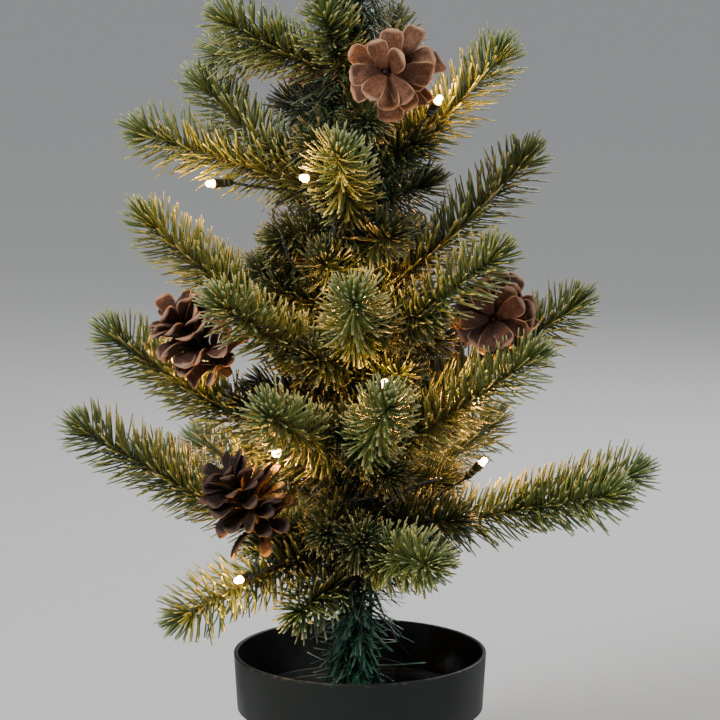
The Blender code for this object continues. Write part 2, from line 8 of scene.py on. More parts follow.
import logging
import math
from dataclasses import dataclass, field
from enum import Enum
import bmesh
import bpy
import numpy as np
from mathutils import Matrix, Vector


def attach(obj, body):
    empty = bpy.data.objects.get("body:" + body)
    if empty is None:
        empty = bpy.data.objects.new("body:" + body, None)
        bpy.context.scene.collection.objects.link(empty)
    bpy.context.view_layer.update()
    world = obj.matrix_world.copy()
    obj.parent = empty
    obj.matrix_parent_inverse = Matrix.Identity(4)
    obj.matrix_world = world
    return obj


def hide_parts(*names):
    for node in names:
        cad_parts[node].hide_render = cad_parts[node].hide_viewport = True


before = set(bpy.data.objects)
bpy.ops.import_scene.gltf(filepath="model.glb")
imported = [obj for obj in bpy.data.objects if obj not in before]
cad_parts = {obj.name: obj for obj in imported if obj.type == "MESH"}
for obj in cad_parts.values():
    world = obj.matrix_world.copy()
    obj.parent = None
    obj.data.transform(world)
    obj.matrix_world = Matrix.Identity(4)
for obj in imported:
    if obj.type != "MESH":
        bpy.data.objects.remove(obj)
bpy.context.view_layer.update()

LOG = logging.getLogger("tabletop_tree")

STAND = "stand"
BAKE_MAP = "OFBake"
GOLDEN_ANGLE = math.radians(137.508)
UP = np.array((0.0, 0.0, 1.0))


# ---------------------------------------------------------------- layout shared with the solid model
POT_HEIGHT = 0.115
TRUNK_X = -0.004
TINSEL_RADIUS = 0.009
ROOT_GAP = 0.0012
TREE_HEIGHT = 0.600
CROWN_LENGTH = 0.134
CROWN_WHORL_HEIGHT = 0.021
CROWN_WHORL_REACH = 0.052
CROWN_WHORL_RISE = 0.040
CROWN_WHORL_COUNT = 5


def level_direction(azimuth_deg: float) -> np.ndarray:
    """The level unit vector at an angle from +X towards +Y."""
    angle = math.radians(azimuth_deg)
    return np.array((math.cos(angle), math.sin(angle), 0.0))


def on_axis(height: float) -> np.ndarray:
    """The point of the trunk's axis at a height above the pot's rim."""
    return np.array((TRUNK_X, 0.0, POT_HEIGHT + height))


def unit(vector: np.ndarray) -> np.ndarray:
    """The vector, or each row of a table of vectors, at length 1."""
    return vector / np.linalg.norm(vector, axis=-1, keepdims=True)


@dataclass(frozen=True)
class Shoot:
    """A side shoot: where it leaves its stem, its turn sideways, its climb and its length."""

    share: float
    turn_deg: float
    climb_deg: float
    length: float


@dataclass(frozen=True)
class Path:
    """A smooth line in space, sampled at points that are evenly shared from its start to its end."""

    points: np.ndarray

    @property
    def length(self) -> float:
        """The line's length."""
        return float(np.linalg.norm(np.diff(self.points, axis=0), axis=1).sum())

    def at(self, shares: np.ndarray | float) -> np.ndarray:
        """Points on the line.

        Args:
            shares: places along the line, from 0 at its start to 1 at its end.

        Returns:
            One point for each share.
        """
        known = np.linspace(0.0, 1.0, len(self.points))
        return np.stack([np.interp(shares, known, self.points[:, axis]) for axis in range(3)], axis=-1)

    def heading(self, shares: np.ndarray | float) -> np.ndarray:
        """The line's unit directions at these shares."""
        before = np.clip(np.asarray(shares, float) - 0.02, 0.0, 0.98)
        return unit(self.at(before + 0.02) - self.at(before))


def arc_path(start: np.ndarray, end: np.ndarray, bow: float, count: int = 25) -> Path:
    """A bowed line.

    Args:
        start: its first point.
        end: its last point.
        bow: how far its middle control point is lifted, as a share of its length.
        count: how many points it is sampled at.

    Returns:
        The line as a path.
    """
    middle = (start + end) / 2 + UP * bow * np.linalg.norm(end - start)
    share = np.linspace(0.0, 1.0, count)[:, None]
    return Path(start * (1 - share) ** 2 + middle * 2 * share * (1 - share) + end * share**2)


@dataclass(frozen=True)
class Limb:
    """A bendable branch: its name, direction, heights above the pot's rim, reach, bow, colour and shoots. Its
    colour is a tone, set paler on most upper limbs and darker on the low and central ones as painted light
    and painted shade.
    """

    name: str
    azimuth_deg: float
    root: float
    reach: float
    tip: float
    bow: float
    tone: float
    shoots: tuple[Shoot, ...] = ()

    @property
    def body(self) -> str:
        """The moving body that the limb rides on."""
        return f"{self.name}_limb"

    @property
    def node(self) -> str:
        """The solid that the limb's needles stand for."""
        return f"branch_{self.name}"

    def stem(self) -> Path:
        """The main stem, from the trunk to its tip."""
        heading = level_direction(self.azimuth_deg)
        root = on_axis(self.root) + heading * (TINSEL_RADIUS + ROOT_GAP)
        return arc_path(root, on_axis(self.tip) + heading * self.reach, self.bow)

    def shoot_path(self, shoot: Shoot) -> Path:
        """The line of a side shoot."""
        start = self.stem().at(shoot.share)
        climb = math.radians(shoot.climb_deg)
        level = level_direction(self.azimuth_deg + shoot.turn_deg) * math.cos(climb)
        return arc_path(start, start + shoot.length * (level + UP * math.sin(climb)), 0.0)


# The tone column is set higher on most upper limbs and lower on the low and central ones: painted light from
# above and painted shade below, on top of each limb's own tone.
LIMBS: tuple[Limb, ...] = (
    Limb("upper_left", 190, 0.310, 0.074, 0.343, -0.05, 0.78, (Shoot(0.35, -38, 0, 0.052),)),
    Limb("upper_right", -11, 0.255, 0.084, 0.328, -0.10, 0.70),
    Limb("upper_front", -112, 0.313, 0.044, 0.351, -0.08, 0.72),
    Limb("upper_back", 68, 0.290, 0.066, 0.337, -0.05, 0.55, (Shoot(0.40, 48, 25, 0.050),)),
    Limb("high_left", 181, 0.249, 0.118, 0.282, -0.03, 0.66, (Shoot(0.18, -24, 42, 0.082),)),
    Limb("high_front", -95, 0.237, 0.088, 0.281, -0.05, 0.70),
    Limb("high_right", 9, 0.190, 0.100, 0.271, -0.08, 0.40),
    Limb("high_back", 105, 0.225, 0.088, 0.265, -0.05, 0.55, (Shoot(0.35, -50, 20, 0.055),)),
    Limb("middle_left", 185, 0.160, 0.115, 0.241, -0.08, 0.55, (Shoot(0.35, -38, 30, 0.060),)),
    Limb("middle_right", -32, 0.168, 0.094, 0.226, -0.06, 0.50),
    Limb("middle_front", -89, 0.168, 0.104, 0.209, -0.05, 0.55),
    Limb("middle_front_left", -136, 0.155, 0.100, 0.203, -0.05, 0.42),
    Limb("middle_back", 70, 0.170, 0.102, 0.220, -0.05, 0.50, (Shoot(0.35, 50, 20, 0.060),)),
    Limb("wide_left", 184, 0.100, 0.134, 0.179, -0.06, 0.50, (Shoot(0.45, -32, 28, 0.062),)),
    Limb("wide_right_back", 16, 0.120, 0.134, 0.188, -0.06, 0.45),
    Limb("wide_right", -22, 0.107, 0.108, 0.172, -0.06, 0.55),
    Limb("low_front_left", -115, 0.111, 0.108, 0.150, -0.05, 0.46),
    Limb("low_front", -80, 0.107, 0.113, 0.158, -0.05, 0.52),
    Limb("bottom_left", 184, 0.053, 0.150, 0.128, -0.06, 0.30, (Shoot(0.40, -32, 25, 0.065),)),
    Limb("bottom_right", -4, 0.063, 0.158, 0.102, -0.06, 0.55, (Shoot(0.50, -25, 14, 0.070),)),
    Limb("low_back", 110, 0.115, 0.120, 0.170, -0.05, 0.50, (Shoot(0.35, -42, 20, 0.070),)),
    Limb("bottom_front_right", -67, 0.053, 0.109, 0.070, 0.05, 0.65),
    Limb("bottom_front_left", -148, 0.057, 0.112, 0.029, 0.08, 0.60),
    Limb("bottom_back_right", 50, 0.070, 0.130, 0.110, -0.02, 0.50, (Shoot(0.40, 35, 8, 0.070),)),
    Limb("bottom_back_left", 135, 0.065, 0.130, 0.100, -0.02, 0.45, (Shoot(0.40, -35, 8, 0.070),)),
    Limb("skirt_front", -122, 0.040, 0.062, 0.028, 0.10, 0.06),
)


def limb_named(name: str) -> Limb:
    """The limb of this name."""
    return next(limb for limb in LIMBS if limb.name == name)


# ---------------------------------------------------------------- mesh tools
@dataclass
class Sheaf:
    """Vertices and faces gathered for one mesh, with values kept at each vertex."""

    points: list[np.ndarray] = field(default_factory=list)
    faces: list[np.ndarray] = field(default_factory=list)
    shares: list[np.ndarray] = field(default_factory=list)
    tones: list[np.ndarray] = field(default_factory=list)
    across: list[np.ndarray] = field(default_factory=list)
    count: int = 0

    def add(
        self,
        points: np.ndarray,
        faces: list[np.ndarray],
        shares: np.ndarray,
        tones: np.ndarray,
        across: np.ndarray,
    ) -> None:
        """Add one batch of geometry.

        Args:
            points: vertex places, one row each.
            faces: tables of corner numbers within this batch, one table for each number of corners.
            shares: at each vertex, how far along its strand it lies.
            tones: at each vertex, the strand's own tone.
            across: at each vertex, a small step across the strand, which keeps its map open.
        """
        self.points.append(points)
        self.faces.extend(table + self.count for table in faces)
        self.shares.append(shares)
        self.tones.append(tones)
        self.across.append(across)
        self.count += len(points)

    def build(self, name: str) -> bpy.types.Object:
        """Make the object.

        Args:
            name: the object's name.

        Returns:
            A smooth mesh object with share and tone attributes and a bake map laid out by them.
        """
        mesh = bpy.data.meshes.new(name)
        points = np.concatenate(self.points)
        loops = np.concatenate([table.reshape(-1) for table in self.faces])
        sizes = np.concatenate([np.full(len(table), table.shape[1]) for table in self.faces])
        mesh.vertices.add(len(points))
        mesh.vertices.foreach_set("co", points.astype(np.float32).ravel())
        mesh.loops.add(len(loops))
        mesh.loops.foreach_set("vertex_index", loops.astype(np.int32))
        mesh.polygons.add(len(sizes))
        mesh.polygons.foreach_set("loop_start", (np.cumsum(sizes) - sizes).astype(np.int32))
        mesh.update(calc_edges=True)
        mesh.polygons.foreach_set("use_smooth", np.ones(len(sizes), bool))
        share, tone = np.concatenate(self.shares), np.concatenate(self.tones)
        for title, values in (("share", share), ("tone", tone)):
            layer = mesh.attributes.new(title, "FLOAT", "POINT")
            layer.data.foreach_set("value", values.astype(np.float32))
        places = np.stack((0.02 + 0.95 * tone + np.concatenate(self.across), 0.02 + 0.96 * share), axis=-1)
        mesh.uv_layers.new(name=BAKE_MAP).uv.foreach_set("vector", places[loops].astype(np.float32).ravel())
        mesh.validate()
        obj = bpy.data.objects.new(name, mesh)
        bpy.context.scene.collection.objects.link(obj)
        return obj


@dataclass(frozen=True)
class Strand:
    """The section of a needle or a ribbon: its corners and how it narrows along its length."""

    stations: tuple[float, ...]
    widths: tuple[float, ...]
    flatness: float
    sides: int = 4

    def grow(
        self,
        sheaf: Sheaf,
        bases: np.ndarray,
        headings: np.ndarray,
        bends: np.ndarray,
        lengths: np.ndarray,
        width: float,
        tones: np.ndarray,
    ) -> None:
        """Add one strand at each base point.

        Args:
            sheaf: what the strands are added to.
            bases: where each strand starts.
            headings: the unit direction that each one starts in.
            bends: how far each tip is carried sideways, for a strand of length 1.
            lengths: each strand's length.
            width: the strands' full width.
            tones: each strand's tone, from 0 to 1.
        """
        total = len(bases)
        spare = np.where(np.abs(headings[:, 2:3]) > 0.9, np.array((1.0, 0.0, 0.0)), UP)
        side = unit(np.cross(headings, spare))
        over = np.cross(side, headings)
        rings = []
        for station, swell in zip(self.stations, self.widths):
            middle = bases + lengths[:, None] * (headings * station + bends * station**2)
            for corner in range(self.sides):
                angle = 2 * math.pi * corner / self.sides
                out = side * math.cos(angle) + over * math.sin(angle) * self.flatness
                rings.append(middle + out * width / 2 * swell)
        rings.append(bases + lengths[:, None] * (headings + bends))
        points = np.stack(rings, axis=1)
        per = points.shape[1]
        quads, caps = self.pattern(per)
        starts = (np.arange(total) * per)[:, None, None]
        shares = np.repeat(np.array((*np.repeat(self.stations, self.sides), 1.0))[None], total, 0)
        steps = np.tile((0.0, 0.004, 0.008, 0.004)[: self.sides], len(self.stations))
        across = np.repeat(np.array((*steps, 0.002))[None], total, 0)
        sheaf.add(
            points.reshape(-1, 3),
            [(quads[None] + starts).reshape(-1, 4), (caps[None] + starts).reshape(-1, 3)],
            shares.ravel(),
            np.repeat(tones, per),
            across.ravel(),
        )

    def pattern(self, per: int) -> tuple[np.ndarray, np.ndarray]:
        """Corner numbers of one strand's sides and of its pointed end.

        Args:
            per: how many vertices one strand has.

        Returns:
            The four-sided faces, and the three-sided ones at the tip.
        """
        quads = []
        for ring in range(len(self.stations) - 1):
            for corner in range(self.sides):
                after = (corner + 1) % self.sides
                low, high = ring * self.sides, (ring + 1) * self.sides
                quads.append((low + corner, low + after, high + after, high + corner))
        last = (len(self.stations) - 1) * self.sides
        caps = [(last + corner, last + (corner + 1) % self.sides, per - 1) for corner in range(self.sides)]
        return np.array(quads), np.array(caps)


def tube_points(path: np.ndarray, radii: np.ndarray, sides: int) -> tuple[np.ndarray, list[np.ndarray]]:
    """A round rod along a line.

    Args:
        path: the line's points.
        radii: the rod's radius at each point.
        sides: how many corners its section has.

    Returns:
        The vertices, and tables of its side faces and its end faces.
    """
    ahead = unit(np.gradient(path, axis=0))
    side = np.cross(ahead[0], UP)
    if np.linalg.norm(side) < 0.1:
        side = np.cross(ahead[0], np.array((1.0, 0.0, 0.0)))
    angles = np.arange(sides) * 2 * math.pi / sides
    rings = []
    for place, heading, radius in zip(path, ahead, radii):
        side = unit(side - heading * side.dot(heading))
        over = np.cross(heading, side)
        ring = np.outer(np.cos(angles), side) + np.outer(np.sin(angles), over)
        rings.append(place + ring * radius)
    rows = np.arange(len(path) - 1)[:, None] * sides
    corner = np.arange(sides)[None]
    after = (corner + 1) % sides
    quads = np.stack((rows + corner, rows + after, rows + sides + after, rows + sides + corner), axis=-1)
    first = np.arange(sides)[None, ::-1]
    last = (len(path) - 1) * sides + np.arange(sides)[None]
    return np.concatenate(rings), [quads.reshape(-1, 4), first, last]


def add_tube(
    sheaf: Sheaf, path: np.ndarray, radii: np.ndarray | float, sides: int, tone: float = 0.5
) -> None:
    """Add a round rod to a sheaf.

    Args:
        sheaf: what the rod is added to.
        path: the line's points.
        radii: the rod's radius at each point, or one radius.
        sides: how many corners its section has.
        tone: the value kept as its tone.
    """
    radii = np.broadcast_to(np.asarray(radii, float), (len(path),))
    points, faces = tube_points(path, radii, sides)
    share = np.repeat(np.linspace(0.0, 1.0, len(path)), sides)
    across = np.tile(np.arange(sides) / sides * 0.02, len(path))
    sheaf.add(points, faces, share, np.full(len(points), tone), across)


def lathe(name: str, profile: list[tuple[float, float]], sides: int) -> bpy.types.Object:
    """A turned shape about the Z axis.

    Args:
        name: the object's name.
        profile: radius and height pairs, with the outer side running down.
        sides: how many sides the turn has.

    Returns:
        A smooth mesh object.
    """
    shape = bmesh.new()
    chain = [shape.verts.new((max(radius, 0.0), 0.0, height)) for radius, height in profile]
    edges = [shape.edges.new(pair) for pair in zip(chain, chain[1:])]
    bmesh.ops.spin(
        shape,
        geom=[*chain, *edges],
        cent=(0, 0, 0),
        axis=(0, 0, 1),
        angle=2 * math.pi,
        steps=sides,
        use_merge=True,
    )
    bmesh.ops.remove_doubles(shape, verts=shape.verts, dist=0.000005)
    bmesh.ops.recalc_face_normals(shape, faces=shape.faces)
    for face in shape.faces:
        face.smooth = True
    mesh = bpy.data.meshes.new(name)
    shape.to_mesh(mesh)
    shape.free()
    obj = bpy.data.objects.new(name, mesh)
    bpy.context.scene.collection.objects.link(obj)
    return obj


def place(
    obj: bpy.types.Object, body: str, slot: str, material: bpy.types.Material, nodes: tuple[str, ...] = ()
) -> bpy.types.Object:
    """Dress a piece and fix it to its body.

    Args:
        obj: the piece.
        body: the body that it rides on.
        slot: the record's material slot; not used.
        material: its material.
        nodes: the solids that it stands for.

    Returns:
        The piece.
    """
    obj.data.materials.append(material)
    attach(obj, body)
    if nodes:
        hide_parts(*nodes)
    LOG.info("%s rides on %s", obj.name, body)
    return obj


# ---------------------------------------------------------------- shader tools
Colour = tuple[float, float, float]
Point = tuple[float, float, float]


class Recipe:
    """A node tree in the making, for a material or for a group that materials share."""

    def __init__(self, tree: bpy.types.NodeTree) -> None:
        """Start on an empty tree."""
        self.tree = tree

    def add(self, kind: str, feeds: dict | None = None, **settings: object) -> bpy.types.Node:
        """Add a node.

        Args:
            kind: the node's type, without its ShaderNode prefix.
            feeds: what goes into its inputs, by name or number: a value, a colour or another node's output.
            settings: the node's own properties.

        Returns:
            The node.
        """
        node = self.tree.nodes.new(f"ShaderNode{kind}")
        for name, value in settings.items():
            setattr(node, name, value)
        for name, value in (feeds or {}).items():
            self.feed(node.inputs[name], value)
        return node

    def feed(self, socket: bpy.types.NodeSocket, value: object) -> None:
        """Join an output to a socket, or set the socket's own value."""
        if isinstance(value, bpy.types.NodeSocket):
            self.tree.links.new(value, socket)
        elif isinstance(value, tuple) and len(value) == 3 and socket.type == "RGBA":
            socket.default_value = (*value, 1.0)
        else:
            socket.default_value = value

    def ramp(
        self, value: bpy.types.NodeSocket, low: float, high: float, smooth: bool = True
    ) -> bpy.types.NodeSocket:
        """Spread a value over 0 to 1.

        Args:
            value: what is spread.
            low: where it becomes 0.
            high: where it becomes 1.
            smooth: whether it eases in and out.

        Returns:
            The spread value.
        """
        kind = "SMOOTHSTEP" if smooth else "LINEAR"
        feeds = {"Value": value, "From Min": low, "From Max": high}
        return self.add("MapRange", feeds, interpolation_type=kind).outputs["Result"]

    def mix(self, share: object, first: object, second: object, kind: str = "MIX") -> bpy.types.NodeSocket:
        """Mix two colours.

        Args:
            share: how much of the second colour there is.
            first: the first colour.
            second: the second colour.
            kind: how they mix.

        Returns:
            The mixed colour.
        """
        node = self.add("Mix", data_type="RGBA", blend_type=kind)
        for number, value in ((0, share), (6, first), (7, second)):
            self.feed(node.inputs[number], value)
        return node.outputs[2]

    def sum(self, kind: str, first: object, second: object) -> bpy.types.NodeSocket:
        """Work out one number from two."""
        return self.add("Math", {0: first, 1: second}, operation=kind).outputs[0]


class Blend(Enum):
    """The node groups that several finishes share."""

    STRAND = "strand_colour"
    MOTTLE = "mottle"
    SCUFF = "scuff"


class SharedBlends:
    """Builds each shared node group once, and places it in a recipe."""

    SOCKETS = {
        Blend.STRAND: (
            (("Tone", "Float"), ("Share", "Float"), ("Deep", "Color"), ("Pale", "Color"))
            + (("Tip", "Color"), ("Painted Root Shade", "Float"), ("Painted Tip Highlight", "Float")),
            (("Color", "Color"),),
        ),
        Blend.MOTTLE: (
            (("Vector", "Vector"), ("Scale", "Float"), ("Grain Scale", "Float"))
            + (("Dark", "Color"), ("Light", "Color")),
            (("Color", "Color"), ("Grain", "Float"), ("Cloud", "Float")),
        ),
        Blend.SCUFF: (
            (("Vector", "Vector"), ("Color", "Color"), ("Worn", "Color"))
            + (("Where", "Float"), ("Scale", "Float"), ("Amount", "Float")),
            (("Color", "Color"), ("Mask", "Float")),
        ),
    }

    def group(self, blend: Blend) -> bpy.types.NodeTree:
        """The group's node tree, built on first use."""
        tree = bpy.data.node_groups.get(blend.value)
        if tree:
            return tree
        tree = bpy.data.node_groups.new(blend.value, "ShaderNodeTree")
        inputs, outputs = self.SOCKETS[blend]
        for sockets, side in ((inputs, "INPUT"), (outputs, "OUTPUT")):
            for name, kind in sockets:
                tree.interface.new_socket(name, in_out=side, socket_type=f"NodeSocket{kind}")
        recipe = Recipe(tree)
        given = tree.nodes.new("NodeGroupInput").outputs
        builders = {Blend.STRAND: self.strand, Blend.MOTTLE: self.mottle, Blend.SCUFF: self.scuff}
        made = builders[blend](recipe, given)
        end = tree.nodes.new("NodeGroupOutput")
        for name, value in made.items():
            recipe.feed(end.inputs[name], value)
        return tree

    def strand(self, recipe: Recipe, given: bpy.types.NodeOutputs) -> dict[str, bpy.types.NodeSocket]:
        """Colour of a needle or ribbon: painted shade darkens its root and a painted highlight pales its tip;
        its own tone sets it apart from its neighbours.
        """
        body = recipe.mix(given["Tone"], given["Deep"], given["Pale"])
        # Painted shade towards the strand's root.
        shade = recipe.sum("SUBTRACT", 1.0, recipe.ramp(given["Share"], 0.0, 0.45))
        rooted = recipe.mix(recipe.sum("MULTIPLY", shade, given["Painted Root Shade"]), body, (0.0, 0.0, 0.0))
        # Painted highlight towards the strand's tip.
        tip = recipe.sum("MULTIPLY", recipe.ramp(given["Share"], 0.74, 1.0), given["Painted Tip Highlight"])
        return {"Color": recipe.mix(tip, rooted, given["Tip"])}

    def mottle(self, recipe: Recipe, given: bpy.types.NodeOutputs) -> dict[str, bpy.types.NodeSocket]:
        """A cloudy colour with a fine grain for bumps."""
        vector = given["Vector"]
        cloud = recipe.add("TexNoise", {"Vector": vector, "Scale": given["Scale"], "Detail": 5.0})
        grain = recipe.add("TexNoise", {"Vector": vector, "Scale": given["Grain Scale"], "Detail": 3.0})
        spread = recipe.ramp(cloud.outputs["Fac"], 0.32, 0.68)
        return {
            "Color": recipe.mix(spread, given["Dark"], given["Light"]),
            "Grain": grain.outputs["Fac"],
            "Cloud": spread,
        }

    def scuff(self, recipe: Recipe, given: bpy.types.NodeOutputs) -> dict[str, bpy.types.NodeSocket]:
        """Rubbed patches where an edge or a lip wears."""
        patch = recipe.add("TexNoise", {"Vector": given["Vector"], "Scale": given["Scale"], "Detail": 6.0})
        spots = recipe.ramp(patch.outputs["Fac"], 0.50, 0.66)
        mask = recipe.sum("MULTIPLY", recipe.sum("MULTIPLY", spots, given["Where"]), given["Amount"])
        return {"Color": recipe.mix(mask, given["Color"], given["Worn"]), "Mask": mask}

    def place(self, recipe: Recipe, blend: Blend, feeds: dict[str, object]) -> bpy.types.NodeOutputs:
        """Put a group in a recipe.

        Args:
            recipe: where it goes.
            blend: which group.
            feeds: its input values.

        Returns:
            Its outputs.
        """
        node = recipe.tree.nodes.new("ShaderNodeGroup")
        node.node_tree = self.group(blend)
        for name, value in feeds.items():
            recipe.feed(node.inputs[name], value)
        return node.outputs


BLENDS = SharedBlends()


def new_material(name: str) -> tuple[bpy.types.Material, Recipe, bpy.types.Node]:
    """Start a material.

    Args:
        name: its name.

    Returns:
        The material, its recipe and its shader node.
    """
    material = bpy.data.materials.new(name)
    material.use_nodes = True
    return material, Recipe(material.node_tree), material.node_tree.nodes["Principled BSDF"]


def own_place(recipe: Recipe) -> bpy.types.NodeSocket:
    """The place on the piece itself, which moves with it."""
    return recipe.add("TexCoord").outputs["Object"]


def bump(
    recipe: Recipe, shader: bpy.types.Node, height: bpy.types.NodeSocket, strength: float, depth: float
) -> None:
    """Raise a finish's surface by a height value.

    Args:
        recipe: the material's recipe.
        shader: its shader node.
        height: the value that raises it.
        strength: how strongly it shows.
        depth: how deep it is, in metres.
    """
    feeds = {"Height": height, "Strength": strength, "Distance": depth}
    recipe.feed(shader.inputs["Normal"], recipe.add("Bump", feeds).outputs["Normal"])


# ---------------------------------------------------------------- finishes
@dataclass(frozen=True)
class StrandFinish:
    """A finish for needles or ribbons, coloured by each strand's tone and by the share along it, with painted
    shade at its root and a painted highlight at its tip.
    """

    name: str
    deep: Colour
    pale: Colour
    # Tip is the colour of a painted highlight on the strand's tip; the root's darkening is painted shade.
    tip: Colour
    painted_root_shade: float
    tip_highlight_amount: float
    roughness: float
    coat: float = 0.0

    def material(self) -> bpy.types.Material:
        """Make the material."""
        material, recipe, shader = new_material(self.name)
        feeds = {
            "Tone": recipe.add("Attribute", attribute_name="tone").outputs["Fac"],
            "Share": recipe.add("Attribute", attribute_name="share").outputs["Fac"],
            "Deep": self.deep,
            "Pale": self.pale,
            "Tip": self.tip,
            "Painted Root Shade": self.painted_root_shade,
            "Painted Tip Highlight": self.tip_highlight_amount,
        }
        recipe.feed(shader.inputs["Base Color"], BLENDS.place(recipe, Blend.STRAND, feeds)["Color"])
        shader.inputs["Roughness"].default_value = self.roughness
        shader.inputs["Coat Weight"].default_value = self.coat
        shader.inputs["Coat Roughness"].default_value = 0.25
        return material


@dataclass(frozen=True)
class MottledFinish:
    """A finish cloudy in colour and grainy to the touch, such as cement, moulded plastic or tape."""

    name: str
    dark: Colour
    light: Colour
    scale: float
    grain_scale: float
    grain_depth: float
    roughness: float
    metallic: float = 0.0
    coat: float = 0.0
    worn: Colour | None = None
    worn_from: float = 0.0
    worn_to: float = 0.0
    gloss_spread: float = 0.08
    specular: float = 0.5

    def material(self) -> bpy.types.Material:
        """Make the material."""
        material, recipe, shader = new_material(self.name)
        vector = own_place(recipe)
        feeds = {
            "Vector": vector,
            "Scale": self.scale,
            "Grain Scale": self.grain_scale,
            "Dark": self.dark,
            "Light": self.light,
        }
        made = BLENDS.place(recipe, Blend.MOTTLE, feeds)
        colour = made["Color"]
        if self.worn:
            height = recipe.add("SeparateXYZ", {"Vector": vector}).outputs["Z"]
            feeds = {
                "Vector": vector,
                "Color": colour,
                "Worn": self.worn,
                "Where": recipe.ramp(height, self.worn_from, self.worn_to),
                "Scale": 260.0,
                "Amount": 0.8,
            }
            colour = BLENDS.place(recipe, Blend.SCUFF, feeds)["Color"]
        recipe.feed(shader.inputs["Base Color"], colour)
        low, high = self.roughness - self.gloss_spread, self.roughness + self.gloss_spread
        gloss = recipe.add("MapRange", {"Value": made["Cloud"], "To Min": low, "To Max": high})
        recipe.feed(shader.inputs["Roughness"], gloss.outputs["Result"])
        shader.inputs["Metallic"].default_value = self.metallic
        shader.inputs["Specular IOR Level"].default_value = self.specular
        shader.inputs["Coat Weight"].default_value = self.coat
        bump(recipe, shader, made["Grain"], 0.5, self.grain_depth)
        return material


@dataclass(frozen=True)
class ScaleFinish:
    """The woody finish of a pinecone's scales: streaked along, darkened towards each scale's root as painted
    shade between the scales, and pale along the rim.
    """

    name: str
    # The dark wood of the streaks, also laid on as painted shade at each scale's root.
    inner: Colour
    outer: Colour
    rim: Colour
    cloud_scale: float = 170.0
    grain_scale: float = 900.0
    streak_scale: float = 700.0
    tint: float = 0.6
    streak_cover: float = 0.6
    rim_cover: float = 0.9
    roughness: float = 0.70
    specular: float = 0.28
    grain_depth: float = 0.0005

    def material(self) -> bpy.types.Material:
        """Make the material."""
        material, recipe, shader = new_material(self.name)
        share = recipe.add("Attribute", attribute_name="share").outputs["Fac"]
        tone = recipe.add("Attribute", attribute_name="tone").outputs["Fac"]
        edge = recipe.add("Attribute", attribute_name="edge").outputs["Fac"]
        vector = own_place(recipe)
        feeds = {
            "Vector": vector,
            "Scale": self.cloud_scale,
            "Grain Scale": self.grain_scale,
            "Dark": self.inner,
            "Light": self.outer,
        }
        made = BLENDS.place(recipe, Blend.MOTTLE, feeds)
        # Each scale darkens towards its root, between the scales near the core: painted shade.
        body = recipe.mix(recipe.ramp(share, 0.15, 0.75), self.inner, made["Color"])
        tinted = recipe.mix(recipe.sum("MULTIPLY", tone, self.tint), body, self.outer)
        feeds = {"Vector": vector, "Scale": self.streak_scale, "Detail": 5.0, "Roughness": 0.7}
        streaks = recipe.add("TexNoise", feeds)
        streaked = recipe.ramp(streaks.outputs["Fac"], 0.38, 0.62)
        streaked = recipe.sum("MULTIPLY", streaked, self.streak_cover)
        lined = recipe.mix(streaked, tinted, self.inner)
        lip = recipe.sum("MAXIMUM", recipe.ramp(share, 0.86, 1.0), recipe.ramp(edge, 0.82, 1.0))
        rimmed = recipe.sum("MULTIPLY", lip, recipe.ramp(share, 0.35, 0.8))
        rimmed = recipe.sum("MULTIPLY", rimmed, self.rim_cover)
        recipe.feed(shader.inputs["Base Color"], recipe.mix(rimmed, lined, self.rim))
        shader.inputs["Roughness"].default_value = self.roughness
        shader.inputs["Specular IOR Level"].default_value = self.specular
        ridges = recipe.sum("ADD", made["Grain"], streaks.outputs["Fac"])
        bump(recipe, shader, ridges, 0.7, self.grain_depth)
        return material


@dataclass(frozen=True)
class LensFinish:
    """The lit lens of a lamp: warm clear plastic that glows, brightest towards its tip."""

    name: str
    glow: Colour
    strength: float

    def material(self) -> bpy.types.Material:
        """Make the material."""
        material, recipe, shader = new_material(self.name)
        share = recipe.add("Attribute", attribute_name="share").outputs["Fac"]
        vector = own_place(recipe)
        cloud = recipe.add("TexNoise", {"Vector": vector, "Scale": 900.0, "Detail": 2.0}).outputs["Fac"]
        warm = recipe.mix(recipe.ramp(share, 0.1, 0.6), (1.0, 0.42, 0.10), self.glow)
        recipe.feed(shader.inputs["Base Color"], recipe.mix(cloud, (1.0, 0.86, 0.62), (0.98, 0.80, 0.50)))
        recipe.feed(shader.inputs["Emission Color"], warm)
        shader.inputs["Emission Strength"].default_value = self.strength
        shader.inputs["Roughness"].default_value = 0.12
        return material


# Each strand finish gives its deep and pale colours, then the colour of its painted tip highlight, its
# painted root shade, how much tip highlight is painted, its roughness and its coat.
NEEDLE = StrandFinish(
    "needle_plastic",
    (0.036, 0.069, 0.015),
    (0.152, 0.206, 0.050),
    (0.41, 0.45, 0.20),
    0.55, 0.60, 0.38, 0.25,
)
# The needle plastic darkened for the sprigs inside the tree: painted shade.
SHADED_NEEDLE = StrandFinish(
    "needle_plastic_painted_shade",
    (0.012, 0.027, 0.008),
    (0.044, 0.066, 0.019),
    (0.18, 0.20, 0.095),
    0.55, 0.45, 0.42, 0.20,
)
TINSEL = StrandFinish(
    "tinsel_foil",
    (0.012, 0.060, 0.032),
    (0.050, 0.205, 0.120),
    (0.18, 0.40, 0.28),
    0.5, 0.4, 0.26, 0.4,
)
INNER_TINSEL = StrandFinish(
    "inner_tinsel",
    (0.030, 0.034, 0.012),
    (0.085, 0.085, 0.034),
    (0.22, 0.22, 0.13),
    0.6, 0.5, 0.38, 0.2,
)
GARLAND = StrandFinish(
    "garland_strip",
    (0.009, 0.018, 0.009),
    (0.032, 0.056, 0.027),
    (0.13, 0.20, 0.11),
    0.55, 0.60, 0.36, 0.25,
)
